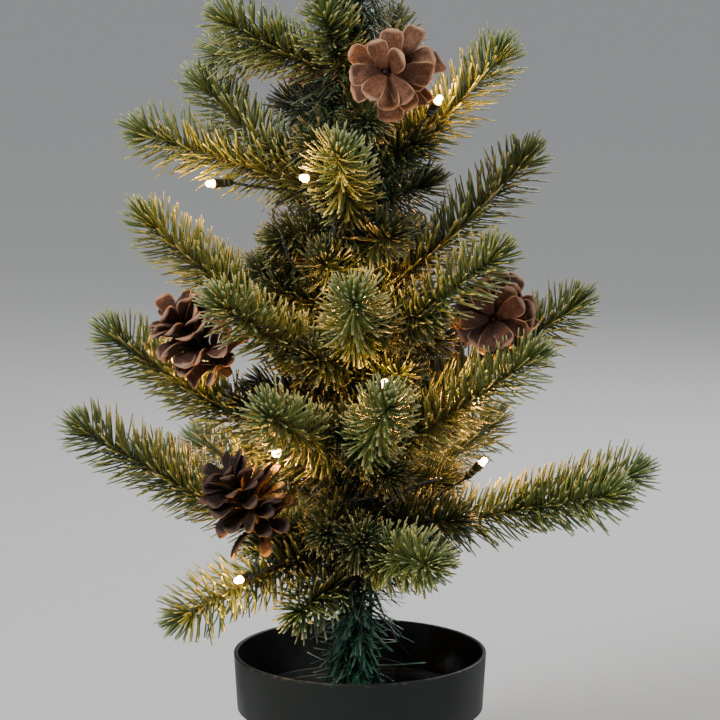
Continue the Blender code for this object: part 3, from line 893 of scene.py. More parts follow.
BARK = MottledFinish("stem_tape", (0.050, 0.040, 0.018), (0.110, 0.120, 0.048), 240.0, 1600.0, 0.0002, 0.62)
PALE_CONE = ScaleFinish(
    "pinecone_pale_wood",
    (0.034, 0.011, 0.005),
    (0.230, 0.095, 0.045),
    (0.52, 0.29, 0.17),
)
CONE = ScaleFinish("pinecone_wood", (0.014, 0.005, 0.003), (0.110, 0.047, 0.028), (0.42, 0.25, 0.165))
# The cone wood darkened for the low cone under the limbs: painted shade.
SHADED_CONE = ScaleFinish(
    "pinecone_wood_painted_shade",
    (0.005, 0.0017, 0.001),
    (0.018, 0.0065, 0.0038),
    (0.105, 0.058, 0.038),
)
PICK = MottledFinish("pick_wire", (0.10, 0.085, 0.06), (0.20, 0.17, 0.12), 300.0, 1500.0, 0.0001, 0.45, 0.6)
POT = MottledFinish(
    "pot_plastic", (0.0047, 0.0080, 0.0075), (0.0072, 0.0112, 0.0105), 22.0, 1400.0, 0.00012, 0.50,
    worn=(0.045, 0.054, 0.050), worn_from=0.1128, worn_to=0.1149, specular=0.25,
)
# The pot's own plastic, made lighter inside the pot as a painted highlight.
POT_INSIDE_HIGHLIGHTED = MottledFinish(
    "pot_inside_plastic_painted_highlight",
    (0.0115, 0.0132, 0.0128),
    (0.0185, 0.0210, 0.0202),
    30.0, 1200.0, 0.0001, 0.22,
)
CEMENT = MottledFinish("cast_cement", (0.17, 0.16, 0.145), (0.30, 0.29, 0.265), 60.0, 900.0, 0.0006, 0.90)
CABLE = MottledFinish(
    "cable_sleeve",
    (0.0065, 0.0105, 0.0080),
    (0.0130, 0.0195, 0.0150),
    200.0, 900.0, 0.00008, 0.30, coat=0.3,
)
SOCKET = MottledFinish(
    "socket_plastic",
    (0.0060, 0.0095, 0.0070),
    (0.0125, 0.0180, 0.0140),
    240.0, 1600.0, 0.00008, 0.34, coat=0.2,
)
POLE = MottledFinish("pole_steel", (0.30, 0.30, 0.31), (0.46, 0.46, 0.47), 120.0, 1400.0, 0.0001, 0.38, 1.0)
NICKEL = MottledFinish(
    "contact_nickel",
    (0.52, 0.50, 0.46),
    (0.68, 0.66, 0.62),
    260.0, 1800.0, 0.00005, 0.26, 1.0,
)
CASE = MottledFinish(
    "case_plastic",
    (0.0125, 0.0125, 0.0130),
    (0.0185, 0.0185, 0.0190),
    60.0, 1500.0, 0.00012, 0.48,
)
SWITCH = MottledFinish("switch_plastic", (0.48, 0.48, 0.46), (0.60, 0.60, 0.58), 120.0, 1500.0, 0.00008, 0.42)
LENS = LensFinish("lens_glow", (1.0, 0.72, 0.38), 40.0)


@dataclass(frozen=True)
class CellFinish:
    """A dry cell's printed sleeve: a copper band at one end of a dark sleeve, with bare metal ends."""

    name: str
    sleeve: Colour
    band: Colour
    metal: Colour
    band_from: float
    flip: bool

    def material(self) -> bpy.types.Material:
        """Make the material."""
        material, recipe, shader = new_material(self.name)
        vector = own_place(recipe)
        feeds = {
            "Vector": vector,
            "Scale": 90.0,
            "Grain Scale": 1500.0,
            "Dark": self.sleeve,
            "Light": self.sleeve,
        }
        made = BLENDS.place(recipe, Blend.MOTTLE, feeds)
        along = recipe.add("SeparateXYZ", {"Vector": vector}).outputs["X"]
        side = recipe.sum("MULTIPLY", along, -1.0 if self.flip else 1.0)
        band = recipe.ramp(side, self.band_from, self.band_from + 0.0004)
        banded = recipe.mix(band, made["Color"], self.band)
        normal = recipe.add("NewGeometry").outputs["True Normal"]
        facing = recipe.add("SeparateXYZ", {"Vector": normal}).outputs["X"]
        end = recipe.ramp(recipe.sum("ABSOLUTE", facing, 0.0), 0.9, 0.98)
        recipe.feed(shader.inputs["Base Color"], recipe.mix(end, banded, self.metal))
        recipe.feed(shader.inputs["Metallic"], recipe.ramp(end, 0.2, 0.8))
        shader.inputs["Roughness"].default_value = 0.30
        bump(recipe, shader, made["Grain"], 0.3, 0.00004)
        return material


Finish = StrandFinish | MottledFinish | ScaleFinish | LensFinish | CellFinish


class Finishes:
    """Makes each material once, on first use."""

    def __init__(self) -> None:
        """Start with none made."""
        self.made: dict[str, bpy.types.Material] = {}

    def of(self, finish: Finish) -> bpy.types.Material:
        """The material of a finish."""
        if finish.name not in self.made:
            self.made[finish.name] = finish.material()
        return self.made[finish.name]


FINISHES = Finishes()


# ---------------------------------------------------------------- studio
@dataclass(frozen=True)
class SoftBox:
    """A large soft lamp of the studio: where it stands, what it faces, its size, power and colour."""

    name: str
    location: Point
    aim: Point
    size: float
    power: float
    colour: Colour = (1.0, 1.0, 1.0)


@dataclass
class Studio:
    """The camera, the pale floor and the soft lights."""

    camera_from: Point = (0.0, -1.5, 0.5225)
    camera_to: Point = (0.0, 0.0, 0.2735)
    view_deg: float = 14.3
    floor_side: float = 120.0
    soft_boxes: tuple[SoftBox, ...] = (
        SoftBox("key_light", (-0.9, -1.0, 1.35), (0.0, 0.0, 0.30), 0.50, 25.0),
        SoftBox("fill_light", (1.3, -0.9, 0.8), (0.0, 0.0, 0.25), 1.0, 7.0),
        SoftBox("back_light", (0.5, 1.2, 1.2), (0.0, 0.0, 0.35), 0.9, 14.0),
    )
    sun_strength: float = 0.9
    sky_strength: float = 0.24

    def build(self) -> None:
        """Set up the whole studio."""
        self.build_camera()
        self.build_floor()
        self.build_lights()
        self.build_sky()

    def build_camera(self) -> None:
        """The camera, at a person's height in front of the tree and looking slightly down."""
        data = bpy.data.cameras.new("camera")
        data.angle = math.radians(self.view_deg)
        camera = bpy.data.objects.new("camera", data)
        camera.location = self.camera_from
        facing = Vector(self.camera_to) - Vector(self.camera_from)
        camera.rotation_euler = facing.to_track_quat("-Z", "Y").to_euler()
        bpy.context.scene.collection.objects.link(camera)
        bpy.context.scene.camera = camera

    def build_floor(self) -> None:
        """The plain pale floor."""
        shape = bmesh.new()
        bmesh.ops.create_grid(shape, x_segments=1, y_segments=1, size=self.floor_side / 2)
        mesh = bpy.data.meshes.new("floor")
        shape.to_mesh(mesh)
        shape.free()
        floor = bpy.data.objects.new("floor", mesh)
        bpy.context.scene.collection.objects.link(floor)
        material, _, shader = new_material("floor_paint")
        shader.inputs["Base Color"].default_value = (0.62, 0.62, 0.61, 1.0)
        shader.inputs["Roughness"].default_value = 0.9
        mesh.materials.append(material)

    def build_lights(self) -> None:
        """The soft boxes, and a wide soft sun that evens out the floor."""
        for box in self.soft_boxes:
            data = bpy.data.lights.new(box.name, "AREA")
            data.shape = "DISK"
            data.size = box.size
            data.energy = box.power
            data.color = box.colour
            self.aim(bpy.data.objects.new(box.name, data), box.location, box.aim)
        sun = bpy.data.lights.new("sun_light", "SUN")
        sun.energy = self.sun_strength
        sun.angle = math.radians(40)
        self.aim(bpy.data.objects.new("sun_light", sun), (-3.0, -3.5, 6.0), (0.0, 0.0, 0.0))

    def aim(self, light: bpy.types.Object, place_at: Point, target: Point) -> None:
        """Stand a light at a place and turn it to a target."""
        light.location = place_at
        facing = Vector(target) - Vector(place_at)
        light.rotation_euler = facing.to_track_quat("-Z", "Y").to_euler()
        bpy.context.scene.collection.objects.link(light)

    def build_sky(self) -> None:
        """The even pale light all round."""
        world = bpy.data.worlds.new("sky")
        world.use_nodes = True
        background = world.node_tree.nodes["Background"]
        background.inputs["Color"].default_value = (0.92, 0.95, 1.0, 1.0)
        background.inputs["Strength"].default_value = self.sky_strength
        bpy.context.scene.world = world


# ---------------------------------------------------------------- needles, stems and tinsel
NEEDLE_STRAND = Strand((0.0, 0.30, 0.75, 0.97), (1.10, 0.95, 1.0, 0.80), 0.55)
RIBBON_STRAND = Strand((0.0, 0.30, 0.65, 0.97), (0.9, 1.0, 1.0, 0.85), 0.12)


@dataclass(frozen=True)
class NeedleCut:
    """How moulded needles stand on a stem, in metres and degrees."""

    length: float = 0.0198
    width: float = 0.00158
    per_metre: float = 3000.0
    spread_deg: float = 66.0
    tip_spread_deg: float = 30.0
    tip_run: float = 0.014
    tip_length: float = 0.74
    lift: float = 0.12
    forward_bend: float = 0.10
    bud_count: int = 34
    bud_inset: float = 0.0105
    uneven: float = 0.07


@dataclass
class Sprigs:
    """The needled limbs and the crown: their needles, their taped stems and the foil wound at their roots."""

    cut: NeedleCut = field(default_factory=NeedleCut)
    bare_stem: float = 0.0040
    shoot_bare_stem: float = 0.0020
    stem_radius: float = 0.00115
    stem_tip_radius: float = 0.00075
    wrap_length: float = 0.050
    wrap_count: int = 150
    # The crown's pale tone is partly painted light on the top of the tree.
    crown_tone: float = 0.74
    seed: int = 7

    def basis(self, headings: np.ndarray) -> tuple[np.ndarray, np.ndarray]:
        """Two directions square to each heading.

        Args:
            headings: unit directions.

        Returns:
            One direction sideways, and one that leans upwards.
        """
        spare = np.where(np.abs(headings[:, 2:3]) > 0.95, np.array((1.0, 0.0, 0.0)), UP)
        side = unit(np.cross(headings, spare))
        return side, np.cross(side, headings)

    def add_needles(
        self, sheaf: Sheaf, path: Path, bare: float, tone: float, rng: np.random.Generator
    ) -> None:
        """Set needles all round a stem.

        Args:
            sheaf: what they are added to.
            path: the stem.
            bare: the length at its start that has none.
            tone: how pale they are, from 0 to 1.
            rng: the source of their unevenness.
        """
        cut, length = self.cut, path.length
        end = length - cut.bud_inset
        count = int(cut.per_metre * (end - bare))
        along = bare + (end - bare) * (np.arange(count) + rng.uniform(-0.5, 0.5, count)) / count
        along = np.clip(along, bare, end)
        angles = np.arange(count) * GOLDEN_ANGLE + rng.normal(0, 0.15, count)
        near_tip = np.clip((along - (end - cut.tip_run)) / cut.tip_run, 0, 1)
        spread = cut.spread_deg + (cut.tip_spread_deg + 16 - cut.spread_deg) * near_tip**1.6
        spread = np.radians(spread + rng.normal(0, 5.5, count))
        reach = cut.length * (1 - (1 - cut.tip_length) * near_tip**1.5)
        root_reach = 0.72 + 0.28 * np.clip((along - bare) / 0.008, 0, 1)
        reach = reach * root_reach * rng.normal(1, cut.uneven, count)
        self.add_at(sheaf, path, along / length, angles, spread, reach, tone, rng)
        bud = cut.bud_count
        angles = np.arange(bud) * GOLDEN_ANGLE + 0.5
        spread = np.radians(np.linspace(4, cut.tip_spread_deg + 22, bud) + rng.normal(0, 3, bud))
        reach = cut.length * cut.tip_length * rng.normal(1.0, cut.uneven, bud)
        places = (end - 0.003 * np.linspace(0, 1, bud)) / length
        self.add_at(sheaf, path, places, angles, spread, reach, tone, rng)

    def add_at(
        self,
        sheaf: Sheaf,
        path: Path,
        shares: np.ndarray,
        angles: np.ndarray,
        spread: np.ndarray,
        reach: np.ndarray,
        tone: float,
        rng: np.random.Generator,
    ) -> None:
        """Set one needle at each of these places.

        Args:
            sheaf: what they are added to.
            path: the stem.
            shares: where on the stem each one stands.
            angles: the way round the stem that each one points.
            spread: each one's angle from the stem.
            reach: each one's length.
            tone: how pale they are.
            rng: the source of their unevenness.
        """
        cut = self.cut
        bases, headings = path.at(shares), path.heading(shares)
        side, over = self.basis(headings)
        out = side * np.cos(angles)[:, None] + over * np.sin(angles)[:, None]
        lean = headings * np.cos(spread)[:, None] + out * np.sin(spread)[:, None] + UP * cut.lift
        bends = headings * cut.forward_bend + UP * 0.05 + rng.normal(0, 0.05, (len(shares), 3))
        tones = np.clip(rng.normal(tone, 0.17, len(shares)), 0.02, 0.98)
        bases = bases + out * self.stem_tip_radius * 0.7
        NEEDLE_STRAND.grow(sheaf, bases, unit(lean), bends, reach, cut.width, tones)

    def add_wrap(self, sheaf: Sheaf, path: Path, rng: np.random.Generator) -> None:
        """Wind short foil round the first part of a limb's stem, where it leaves the trunk."""
        count = self.wrap_count
        along = rng.uniform(0, min(self.wrap_length, path.length * 0.6), count) / path.length
        bases, headings = path.at(along), path.heading(along)
        side, over = self.basis(headings)
        angles = rng.uniform(0, 2 * math.pi, count)
        out = side * np.cos(angles)[:, None] + over * np.sin(angles)[:, None]
        lean = unit(out + headings * rng.uniform(0.1, 1.1, (count, 1)))
        bends = rng.normal(0, 0.20, (count, 3))
        reach = rng.uniform(0.009, 0.015, count)
        RIBBON_STRAND.grow(sheaf, bases, lean, bends, reach, 0.0011, rng.uniform(0.0, 1.0, count))

    def add_stem(self, sheaf: Sheaf, path: Path, tone: float) -> None:
        """Add a stem that thins towards its tip."""
        shares = np.linspace(0, 1 - self.cut.bud_inset / path.length, 20)
        radii = np.linspace(self.stem_radius, self.stem_tip_radius, 20)
        add_tube(sheaf, path.at(shares), radii, 8, tone)

    def build_limb(self, limb: Limb, number: int) -> None:
        """Build one limb's needles, stem and root foil.

        Args:
            limb: the limb.
            number: its place in the list, which sets its unevenness.
        """
        rng = np.random.default_rng(self.seed * 1000 + number)
        needles, stems, wrap = Sheaf(), Sheaf(), Sheaf()
        stem = limb.stem()
        self.add_needles(needles, stem, self.bare_stem, limb.tone, rng)
        self.add_stem(stems, stem, limb.tone)
        self.add_wrap(wrap, stem, rng)
        for shoot in limb.shoots:
            path = limb.shoot_path(shoot)
            self.add_needles(needles, path, self.shoot_bare_stem, limb.tone, rng)
            self.add_stem(stems, path, limb.tone)
        place(needles.build(f"needles_{limb.name}"), limb.body, "needles", FINISHES.of(NEEDLE), (limb.node,))
        place(stems.build(f"stem_{limb.name}"), limb.body, "needles", FINISHES.of(BARK))
        place(wrap.build(f"root_foil_{limb.name}"), limb.body, "tinsel", FINISHES.of(INNER_TINSEL))

    def build_crown(self) -> None:
        """Build the leader and its whorl of short shoots."""
        rng = np.random.default_rng(self.seed)
        needles, stems = Sheaf(), Sheaf()
        base = np.array((TRUNK_X, 0.0, TREE_HEIGHT - CROWN_LENGTH + ROOT_GAP))
        leader = arc_path(base, np.array((TRUNK_X, 0.0, TREE_HEIGHT)), 0.0)
        start = np.array((TRUNK_X, 0.0, TREE_HEIGHT - CROWN_LENGTH + CROWN_WHORL_HEIGHT))
        paths = [(leader, self.bare_stem)]
        for number in range(CROWN_WHORL_COUNT):
            out = level_direction(-90 + 360 * number / CROWN_WHORL_COUNT)
            end = start + out * CROWN_WHORL_REACH + UP * CROWN_WHORL_RISE
            paths.append((arc_path(start, end, -0.05), self.shoot_bare_stem))
        for path, bare in paths:
            self.add_needles(needles, path, bare, self.crown_tone, rng)
            self.add_stem(stems, path, self.crown_tone)
        place(needles.build("needles_crown"), STAND, "needles", FINISHES.of(NEEDLE), ("crown",))
        place(stems.build("stem_crown"), STAND, "needles", FINISHES.of(BARK))

    def build(self) -> None:
        """Build every limb and the crown."""
        for number, limb in enumerate(LIMBS):
            self.build_limb(limb, number)
        self.build_crown()


@dataclass
class Trunk:
    """The pole and the curly foil wound round it, with loose foil hanging at its foot."""

    foil_root: float = 0.0038
    foil_bottom: float = 0.070
    foil_past_crown: float = 0.012
    foil_count: int = 2600
    foil_climbs: tuple[float, float] = (-0.5, 0.7)
    foil_lengths: tuple[float, float] = (0.009, 0.0145)
    foil_width: float = 0.0017
    loose_count: int = 150
    loose_bottom: float = 0.086
    loose_past_rim: float = 0.03
    loose_climbs: tuple[float, float] = (-1.8, -0.4)
    loose_lengths: tuple[float, float] = (0.012, 0.024)
    loose_width: float = 0.0030
    garland_start: float = 0.026
    garland_end_gap: float = 0.004
    garland_count: int = 3600
    garland_climbs: tuple[float, float] = (-0.35, 0.9)
    garland_lengths: tuple[float, float] = (0.017, 0.026)
    garland_width: float = 0.0014
    inner_count: int = 46
    inner_low: float = 0.046
    inner_high: float = 0.302
    inner_length: float = 0.054
    inner_length_low: float = 1.15
    inner_length_loss: float = 0.35
    inner_climbs: tuple[float, float] = (-0.25, 0.45)
    inner_root: float = 0.003
    inner_bare: float = 0.004
    inner_sag: float = -0.05
    inner_stem_tone: float = 0.3
    # Fillers: direction in degrees, height above the rim, length, climb in degrees, and tone; the higher
    # fillers get paler tones as painted light from above.
    fillers: tuple[tuple[float, float, float, float, float], ...] = (
        (196, 0.128, 0.066, 10, 0.30), (206, 0.136, 0.058, -8, 0.25), (188, 0.182, 0.060, 30, 0.85),
        (204, 0.206, 0.052, 22, 0.90), (170, 0.200, 0.050, 12, 0.50),
    )
    seed: int = 11

    def build(self) -> None:
        """Build the foil and dress the pole."""
        rng = np.random.default_rng(self.seed)
        sheaf = Sheaf()
        top = TREE_HEIGHT - CROWN_LENGTH + self.foil_past_crown
        heights = (self.foil_bottom, top)
        self.add_foil(
            sheaf, rng, self.foil_count, heights, self.foil_climbs, self.foil_lengths, self.foil_width
        )
        heights = (self.loose_bottom, POT_HEIGHT + self.loose_past_rim)
        self.add_foil(
            sheaf, rng, self.loose_count, heights, self.loose_climbs, self.loose_lengths, self.loose_width
        )
        foil = sheaf.build("trunk_foil")
        place(foil, STAND, "tinsel", FINISHES.of(TINSEL), ("trunk_tinsel",))
        strips = Sheaf()
        heights = (POT_HEIGHT + self.garland_start, top - self.garland_end_gap)
        climbs, lengths = self.garland_climbs, self.garland_lengths
        self.add_foil(strips, rng, self.garland_count, heights, climbs, lengths, self.garland_width)
        place(strips.build("trunk_garland"), STAND, "tinsel", FINISHES.of(GARLAND))
        self.build_inner(rng)
        dress_node("trunk_pole", POLE, 0.0003)

    def build_inner(self, rng: np.random.Generator) -> None:
        """Build the short sprigs that fill the tree between its limbs, close to the pole, darkened as painted
        shade.
        """
        sprigs = Sprigs(cut=NeedleCut(length=0.0180, per_metre=3000.0, lift=0.05))
        low, high, stems = Sheaf(), Sheaf(), Sheaf()
        for index in range(self.inner_count):
            share = index / (self.inner_count - 1)
            needles = low if share < 0.5 else high
            out = level_direction(math.degrees(index * GOLDEN_ANGLE) + rng.normal(0, 8))
            height = self.inner_low + (self.inner_high - self.inner_low) * share
            start = on_axis(height) + out * self.inner_root
            shrink = self.inner_length_low - self.inner_length_loss * share
            length = self.inner_length * shrink * rng.normal(1, 0.08)
            end = start + out * length + UP * length * rng.uniform(*self.inner_climbs)
            path = arc_path(start, end, self.inner_sag)
            # Their tone rises with height: painted light from above.
            sprigs.add_needles(needles, path, self.inner_bare, 0.20 + 0.5 * share, rng)
            sprigs.add_stem(stems, path, self.inner_stem_tone)
        for azimuth_deg, height, length, climb_deg, tone in self.fillers:
            climb = math.radians(climb_deg)
            out = level_direction(azimuth_deg)
            start = on_axis(height) + out * self.inner_root
            end = start + out * length * math.cos(climb) + UP * length * math.sin(climb)
            path = arc_path(start, end, self.inner_sag)
            sprigs.add_needles(high, path, self.inner_bare, tone, rng)
            sprigs.add_stem(stems, path, tone)
        place(low.build("inner_needles_low"), STAND, "needles", FINISHES.of(SHADED_NEEDLE))
        place(high.build("inner_needles_high"), STAND, "needles", FINISHES.of(SHADED_NEEDLE))
        place(stems.build("inner_stems"), STAND, "needles", FINISHES.of(BARK))

    def add_foil(
        self,
        sheaf: Sheaf,
        rng: np.random.Generator,
        count: int,
        heights: tuple[float, float],
        climbs: tuple[float, float],
        lengths: tuple[float, float],
        width: float,
    ) -> None:
        """Add curly ribbons of foil round the pole.

        Args:
            sheaf: what they are added to.
            rng: the source of their unevenness.
            count: how many there are.
            heights: the lowest and the highest place that they start at.
            climbs: how far they point down or up.
            lengths: their shortest and longest length.
            width: their width.
        """
        angles = rng.uniform(0, 2 * math.pi, count)
        out = np.stack((np.cos(angles), np.sin(angles), np.zeros(count)), axis=-1)
        turn = np.cross(out, UP)
        bases = out * self.foil_root
        bases[:, 0] += TRUNK_X
        bases[:, 2] = rng.uniform(*heights, count)
        lean = out + turn * rng.normal(0, 0.45, (count, 1)) + UP * rng.uniform(*climbs, (count, 1))
        bends = turn * rng.normal(0, 0.55, (count, 1)) + UP * rng.normal(-0.15, 0.4, (count, 1))
        reach = rng.uniform(*lengths, count)
        RIBBON_STRAND.grow(sheaf, bases, unit(lean), bends, reach, width, rng.uniform(0, 1, count))


# ---------------------------------------------------------------- pinecones
@dataclass(frozen=True)
class ConePlace:
    """A pinecone: its limb, its pick's start, its base above the pot's rim, its direction and wood.

    Then come how far it opens, how wide its scales are, and how many it has.
    """

    name: str
    limb: str
    share: float
    base: Point
    points_to: Point
    finish: ScaleFinish
    openness: float
    width: float
    count: int


CONES: tuple[ConePlace, ...] = (
    ConePlace(
        "top", "upper_right", 0.10, (0.023, -0.033, 0.314), (-0.27, -0.95, 0.03),
        PALE_CONE, 1.10, 0.95, 25,
    ),
    ConePlace(
        "left", "wide_left", 0.52, (-0.068, -0.025, 0.155), (-0.62, -0.20, 0.73),
        CONE, 0.82, 0.78, 48,
    ),
    ConePlace(
        "right", "wide_right_back", 0.52, (0.075, 0.011, 0.185), (-0.15, -1.0, -0.02),
        CONE, 1.05, 0.85, 36,
    ),
    ConePlace(
        "lower_left", "bottom_left", 0.30, (-0.046, -0.046, 0.073), (-0.50, -0.30, 0.81),
        SHADED_CONE, 0.86, 0.62, 52,
    ),
    ConePlace(
        "back", "wide_right_back", 0.28, (0.030, 0.052, 0.146), (0.35, 0.90, 0.15),
        CONE, 0.95, 0.80, 38,
    ),
    ConePlace(
        "back_high", "high_back", 0.50, (-0.014, 0.050, 0.285), (-0.22, 0.95, 0.20),
        CONE, 1.0, 0.80, 38,
    ),
)


@dataclass
class Pinecones:
    """Opened pinecones: thick curved scales in a spiral round a woody core, each cone on a wire pick."""

    length: float = 0.046
    radius: float = 0.0215
    scale_width: float = 0.0140
    scale_outline: tuple[tuple[float, float], ...] = (
        (0, 0.34), (0.20, 0.55), (0.45, 0.85), (0.74, 1.0), (0.86, 0.96), (0.95, 0.76), (1.0, 0.40),
    )
    scale_thickness: tuple[tuple[float, float], ...] = (
        (0, 0.00045), (0.5, 0.00060), (0.78, 0.00115), (0.90, 0.00150), (1.0, 0.00035),
    )
    core_radius: float = 0.0036
    pick_radius: float = 0.0008
    rings: int = 13
    sides: int = 16

    def scale_points(
        self, rise: float, turn: float, wide: float, open_by: float, rng: np.random.Generator
    ) -> np.ndarray:
        """One scale, as rings of points from its root to its lip.

        Args:
            rise: where it stands on the core, from 0 at the cone's base to 1 at its tip.
            turn: its way round the core.
            wide: a factor on its width.
            open_by: a factor on how far it opens.
            rng: the source of its unevenness.

        Returns:
            Its points by ring and corner, with the cone standing on the origin along Z.
        """
        share = np.linspace(0, 1, self.rings)
        bell = np.clip(1.20 - abs(rise - 0.45), 0.55, 1.0)
        length = (self.radius - self.core_radius * 0.4) * (0.50 + 0.50 * bell) * rng.normal(1, 0.08)
        opening = math.radians((104 - 50 * rise**1.2) * open_by + rng.normal(0, 12))
        curl = math.radians(26 - 16 * rise)
        angle = opening - curl * np.cos(math.pi * np.clip(share * 1.05, 0, 1))
        step = length / (self.rings - 1)
        out = self.core_radius * (1.0 - 0.55 * rise) * 0.6 + np.cumsum(np.sin(angle)) * step
        up = self.length * (0.10 + 0.72 * rise) + np.cumsum(np.cos(angle)) * step
        outline = np.interp(share, *zip(*self.scale_outline))
        half = self.scale_width / 2 * (0.45 + 0.55 * bell) * wide * outline * rng.normal(1, 0.05)
        thick = np.interp(share, *zip(*self.scale_thickness))
        corner = np.linspace(0, 2 * math.pi, self.sides, endpoint=False)
        across = np.cos(corner)[None] * half[:, None]
        cup = 0.30 * np.cos(corner)[None] ** 2 * half[:, None]
        ridge = np.sin(corner)[None] * thick[:, None] * (0.55 + 0.45 * np.abs(np.sin(corner)[None]) ** 0.6)
        twist = rng.normal(0, 0.46)
        lift = cup + ridge + across * twist * share[:, None]
        radial = out[:, None] - np.cos(angle)[:, None] * lift
        height = up[:, None] + np.sin(angle)[:, None] * lift
        return np.stack(
            (
                radial * math.cos(turn) - across * math.sin(turn),
                radial * math.sin(turn) + across * math.cos(turn),
                height,
            ),
            axis=-1,
        )

    def build_scales(self, cone: ConePlace, number: int) -> bpy.types.Object:
        """Build a cone's scales and core.

        Args:
            cone: the cone.
            number: its place in the list, which sets its unevenness.

        Returns:
            The object.
        """
        rng = np.random.default_rng(500 + number)
        base, axis = self.seat(cone)
        side = unit(np.cross(axis, UP))
        turn_to = np.stack((side, np.cross(axis, side), axis))
        shape = bmesh.new()
        layers = {name: shape.verts.layers.float.new(name) for name in ("share", "tone", "edge")}
        for index in range(cone.count):
            rise = (index / (cone.count - 1)) ** 0.92
            turn = index * GOLDEN_ANGLE + rng.normal(0, 0.14)
            points = self.scale_points(rise, turn, cone.width, cone.openness, rng)
            self.add_scale(shape, layers, points @ turn_to + base, float(rng.uniform(0, 1)))
        core = np.linspace(0.0, 0.86, 12)
        radii = np.interp(core, (0, 0.1, 0.5, 0.86), (0.0022, self.core_radius, 0.0030, 0.0008))
        points, faces = tube_points(base + np.outer(core * self.length, axis), radii, 12)
        verts = [shape.verts.new(point) for point in points]
        for table in faces:
            for row in table:
                shape.faces.new([verts[corner] for corner in row])
        for face in shape.faces:
            face.smooth = True
        mesh = bpy.data.meshes.new(f"pinecone_scales_{cone.name}")
        bmesh.ops.recalc_face_normals(shape, faces=shape.faces)
        shape.to_mesh(mesh)
        shape.free()
        obj = bpy.data.objects.new(mesh.name, mesh)
        bpy.context.scene.collection.objects.link(obj)
        return obj

    def add_scale(self, shape: bmesh.types.BMesh, layers: dict, points: np.ndarray, tone: float) -> None:
        """Add one scale's rings to a shape.

        Args:
            shape: what it is added to.
            layers: the shape's share, tone and edge layers.
            points: its points by ring and corner.
            tone: its own tone.
        """
        rows = []
        for ring, line in enumerate(points):
            row = []
            for corner, point in enumerate(line):
                vert = shape.verts.new(point)
                vert[layers["share"]] = ring / (self.rings - 1)
                vert[layers["tone"]] = tone
                vert[layers["edge"]] = abs(math.cos(2 * math.pi * corner / self.sides))
                row.append(vert)
            rows.append(row)
        for low, high in zip(rows, rows[1:]):
            for corner in range(self.sides):
                after = (corner + 1) % self.sides
                shape.faces.new((low[corner], low[after], high[after], high[corner]))
        shape.faces.new(rows[0][::-1])
        shape.faces.new(rows[-1])

    def seat(self, cone: ConePlace) -> tuple[np.ndarray, np.ndarray]:
        """A cone's base, and the direction from there to its tip."""
        base = np.array(cone.base) + UP * POT_HEIGHT
        return base, unit(np.array(cone.points_to))

    def build_pick(self, cone: ConePlace, limb: Limb) -> bpy.types.Object:
        """Build a cone's wire: two turns round the stem, then a run to the cone's base."""
        base, axis = self.seat(cone)
        stem = limb.stem()
        foot, heading = stem.at(cone.share), stem.heading(cone.share)
        side = unit(np.cross(heading, UP))
        over = np.cross(side, heading)
        turns = np.linspace(0, 4 * math.pi, 40)[:, None]
        coil = foot + (side * np.cos(turns) + over * np.sin(turns)) * 0.0021 + heading * (turns * 0.0004)
        run = np.linspace(0.1, 1, 12)[:, None]
        span = coil[-1] * (1 - run) + (base + axis * 0.004) * run
        sheaf = Sheaf()
        add_tube(sheaf, np.concatenate((coil, span)), self.pick_radius * 0.7, 8)
        return sheaf.build(f"pinecone_pick_{cone.name}")

    def build(self) -> None:
        """Build every pinecone."""
        for number, cone in enumerate(CONES):
            limb = limb_named(cone.limb)
            scales = self.build_scales(cone, number)
            place(scales, limb.body, "pinecone", FINISHES.of(cone.finish), (f"pinecone_{cone.name}",))
            place(self.build_pick(cone, limb), limb.body, "steel", FINISHES.of(PICK))


# ---------------------------------------------------------------- light string
@dataclass(frozen=True)
class LampPlace:
    """A lamp: its number, limb, share of the stem, side, its lead's rise, and its brightness.

    The last value is how far in front of its lens its light is hung.
    """

    number: int
    limb: str
    share: float
    side_deg: float
    rise: float
    glow: float
    glow_forward: float = 0.0


LAMPS: tuple[LampPlace, ...] = (
    LampPlace(1, "upper_right", 0.50, 165, 0.006, 1.0),
    LampPlace(2, "high_front", 0.70, -150, 0.0, 1.0),
    LampPlace(3, "high_left", 0.46, -30, 0.003, 0.8),
    LampPlace(4, "bottom_right", 0.38, 90, 0.009, 1.0),
    LampPlace(5, "bottom_front_left", 0.58, 30, 0.006, 1.2),
    LampPlace(6, "wide_left", 0.58, 165, 0.012, 2.0, 0.024),
    LampPlace(7, "wide_right", 0.42, 0, 0.003, 1.5),
    LampPlace(8, "low_front", 0.46, 75, 0.006, 0.9),
    LampPlace(9, "middle_back", 0.50, 90, 0.0, 1.0),
    LampPlace(10, "bottom_back_left", 0.50, 90, 0.0, 1.0),
    LampPlace(11, "middle_front", 0.26, 90, 0.003, 1.1),
    LampPlace(12, "low_front_left", 0.34, -150, 0.0, 1.2),
)


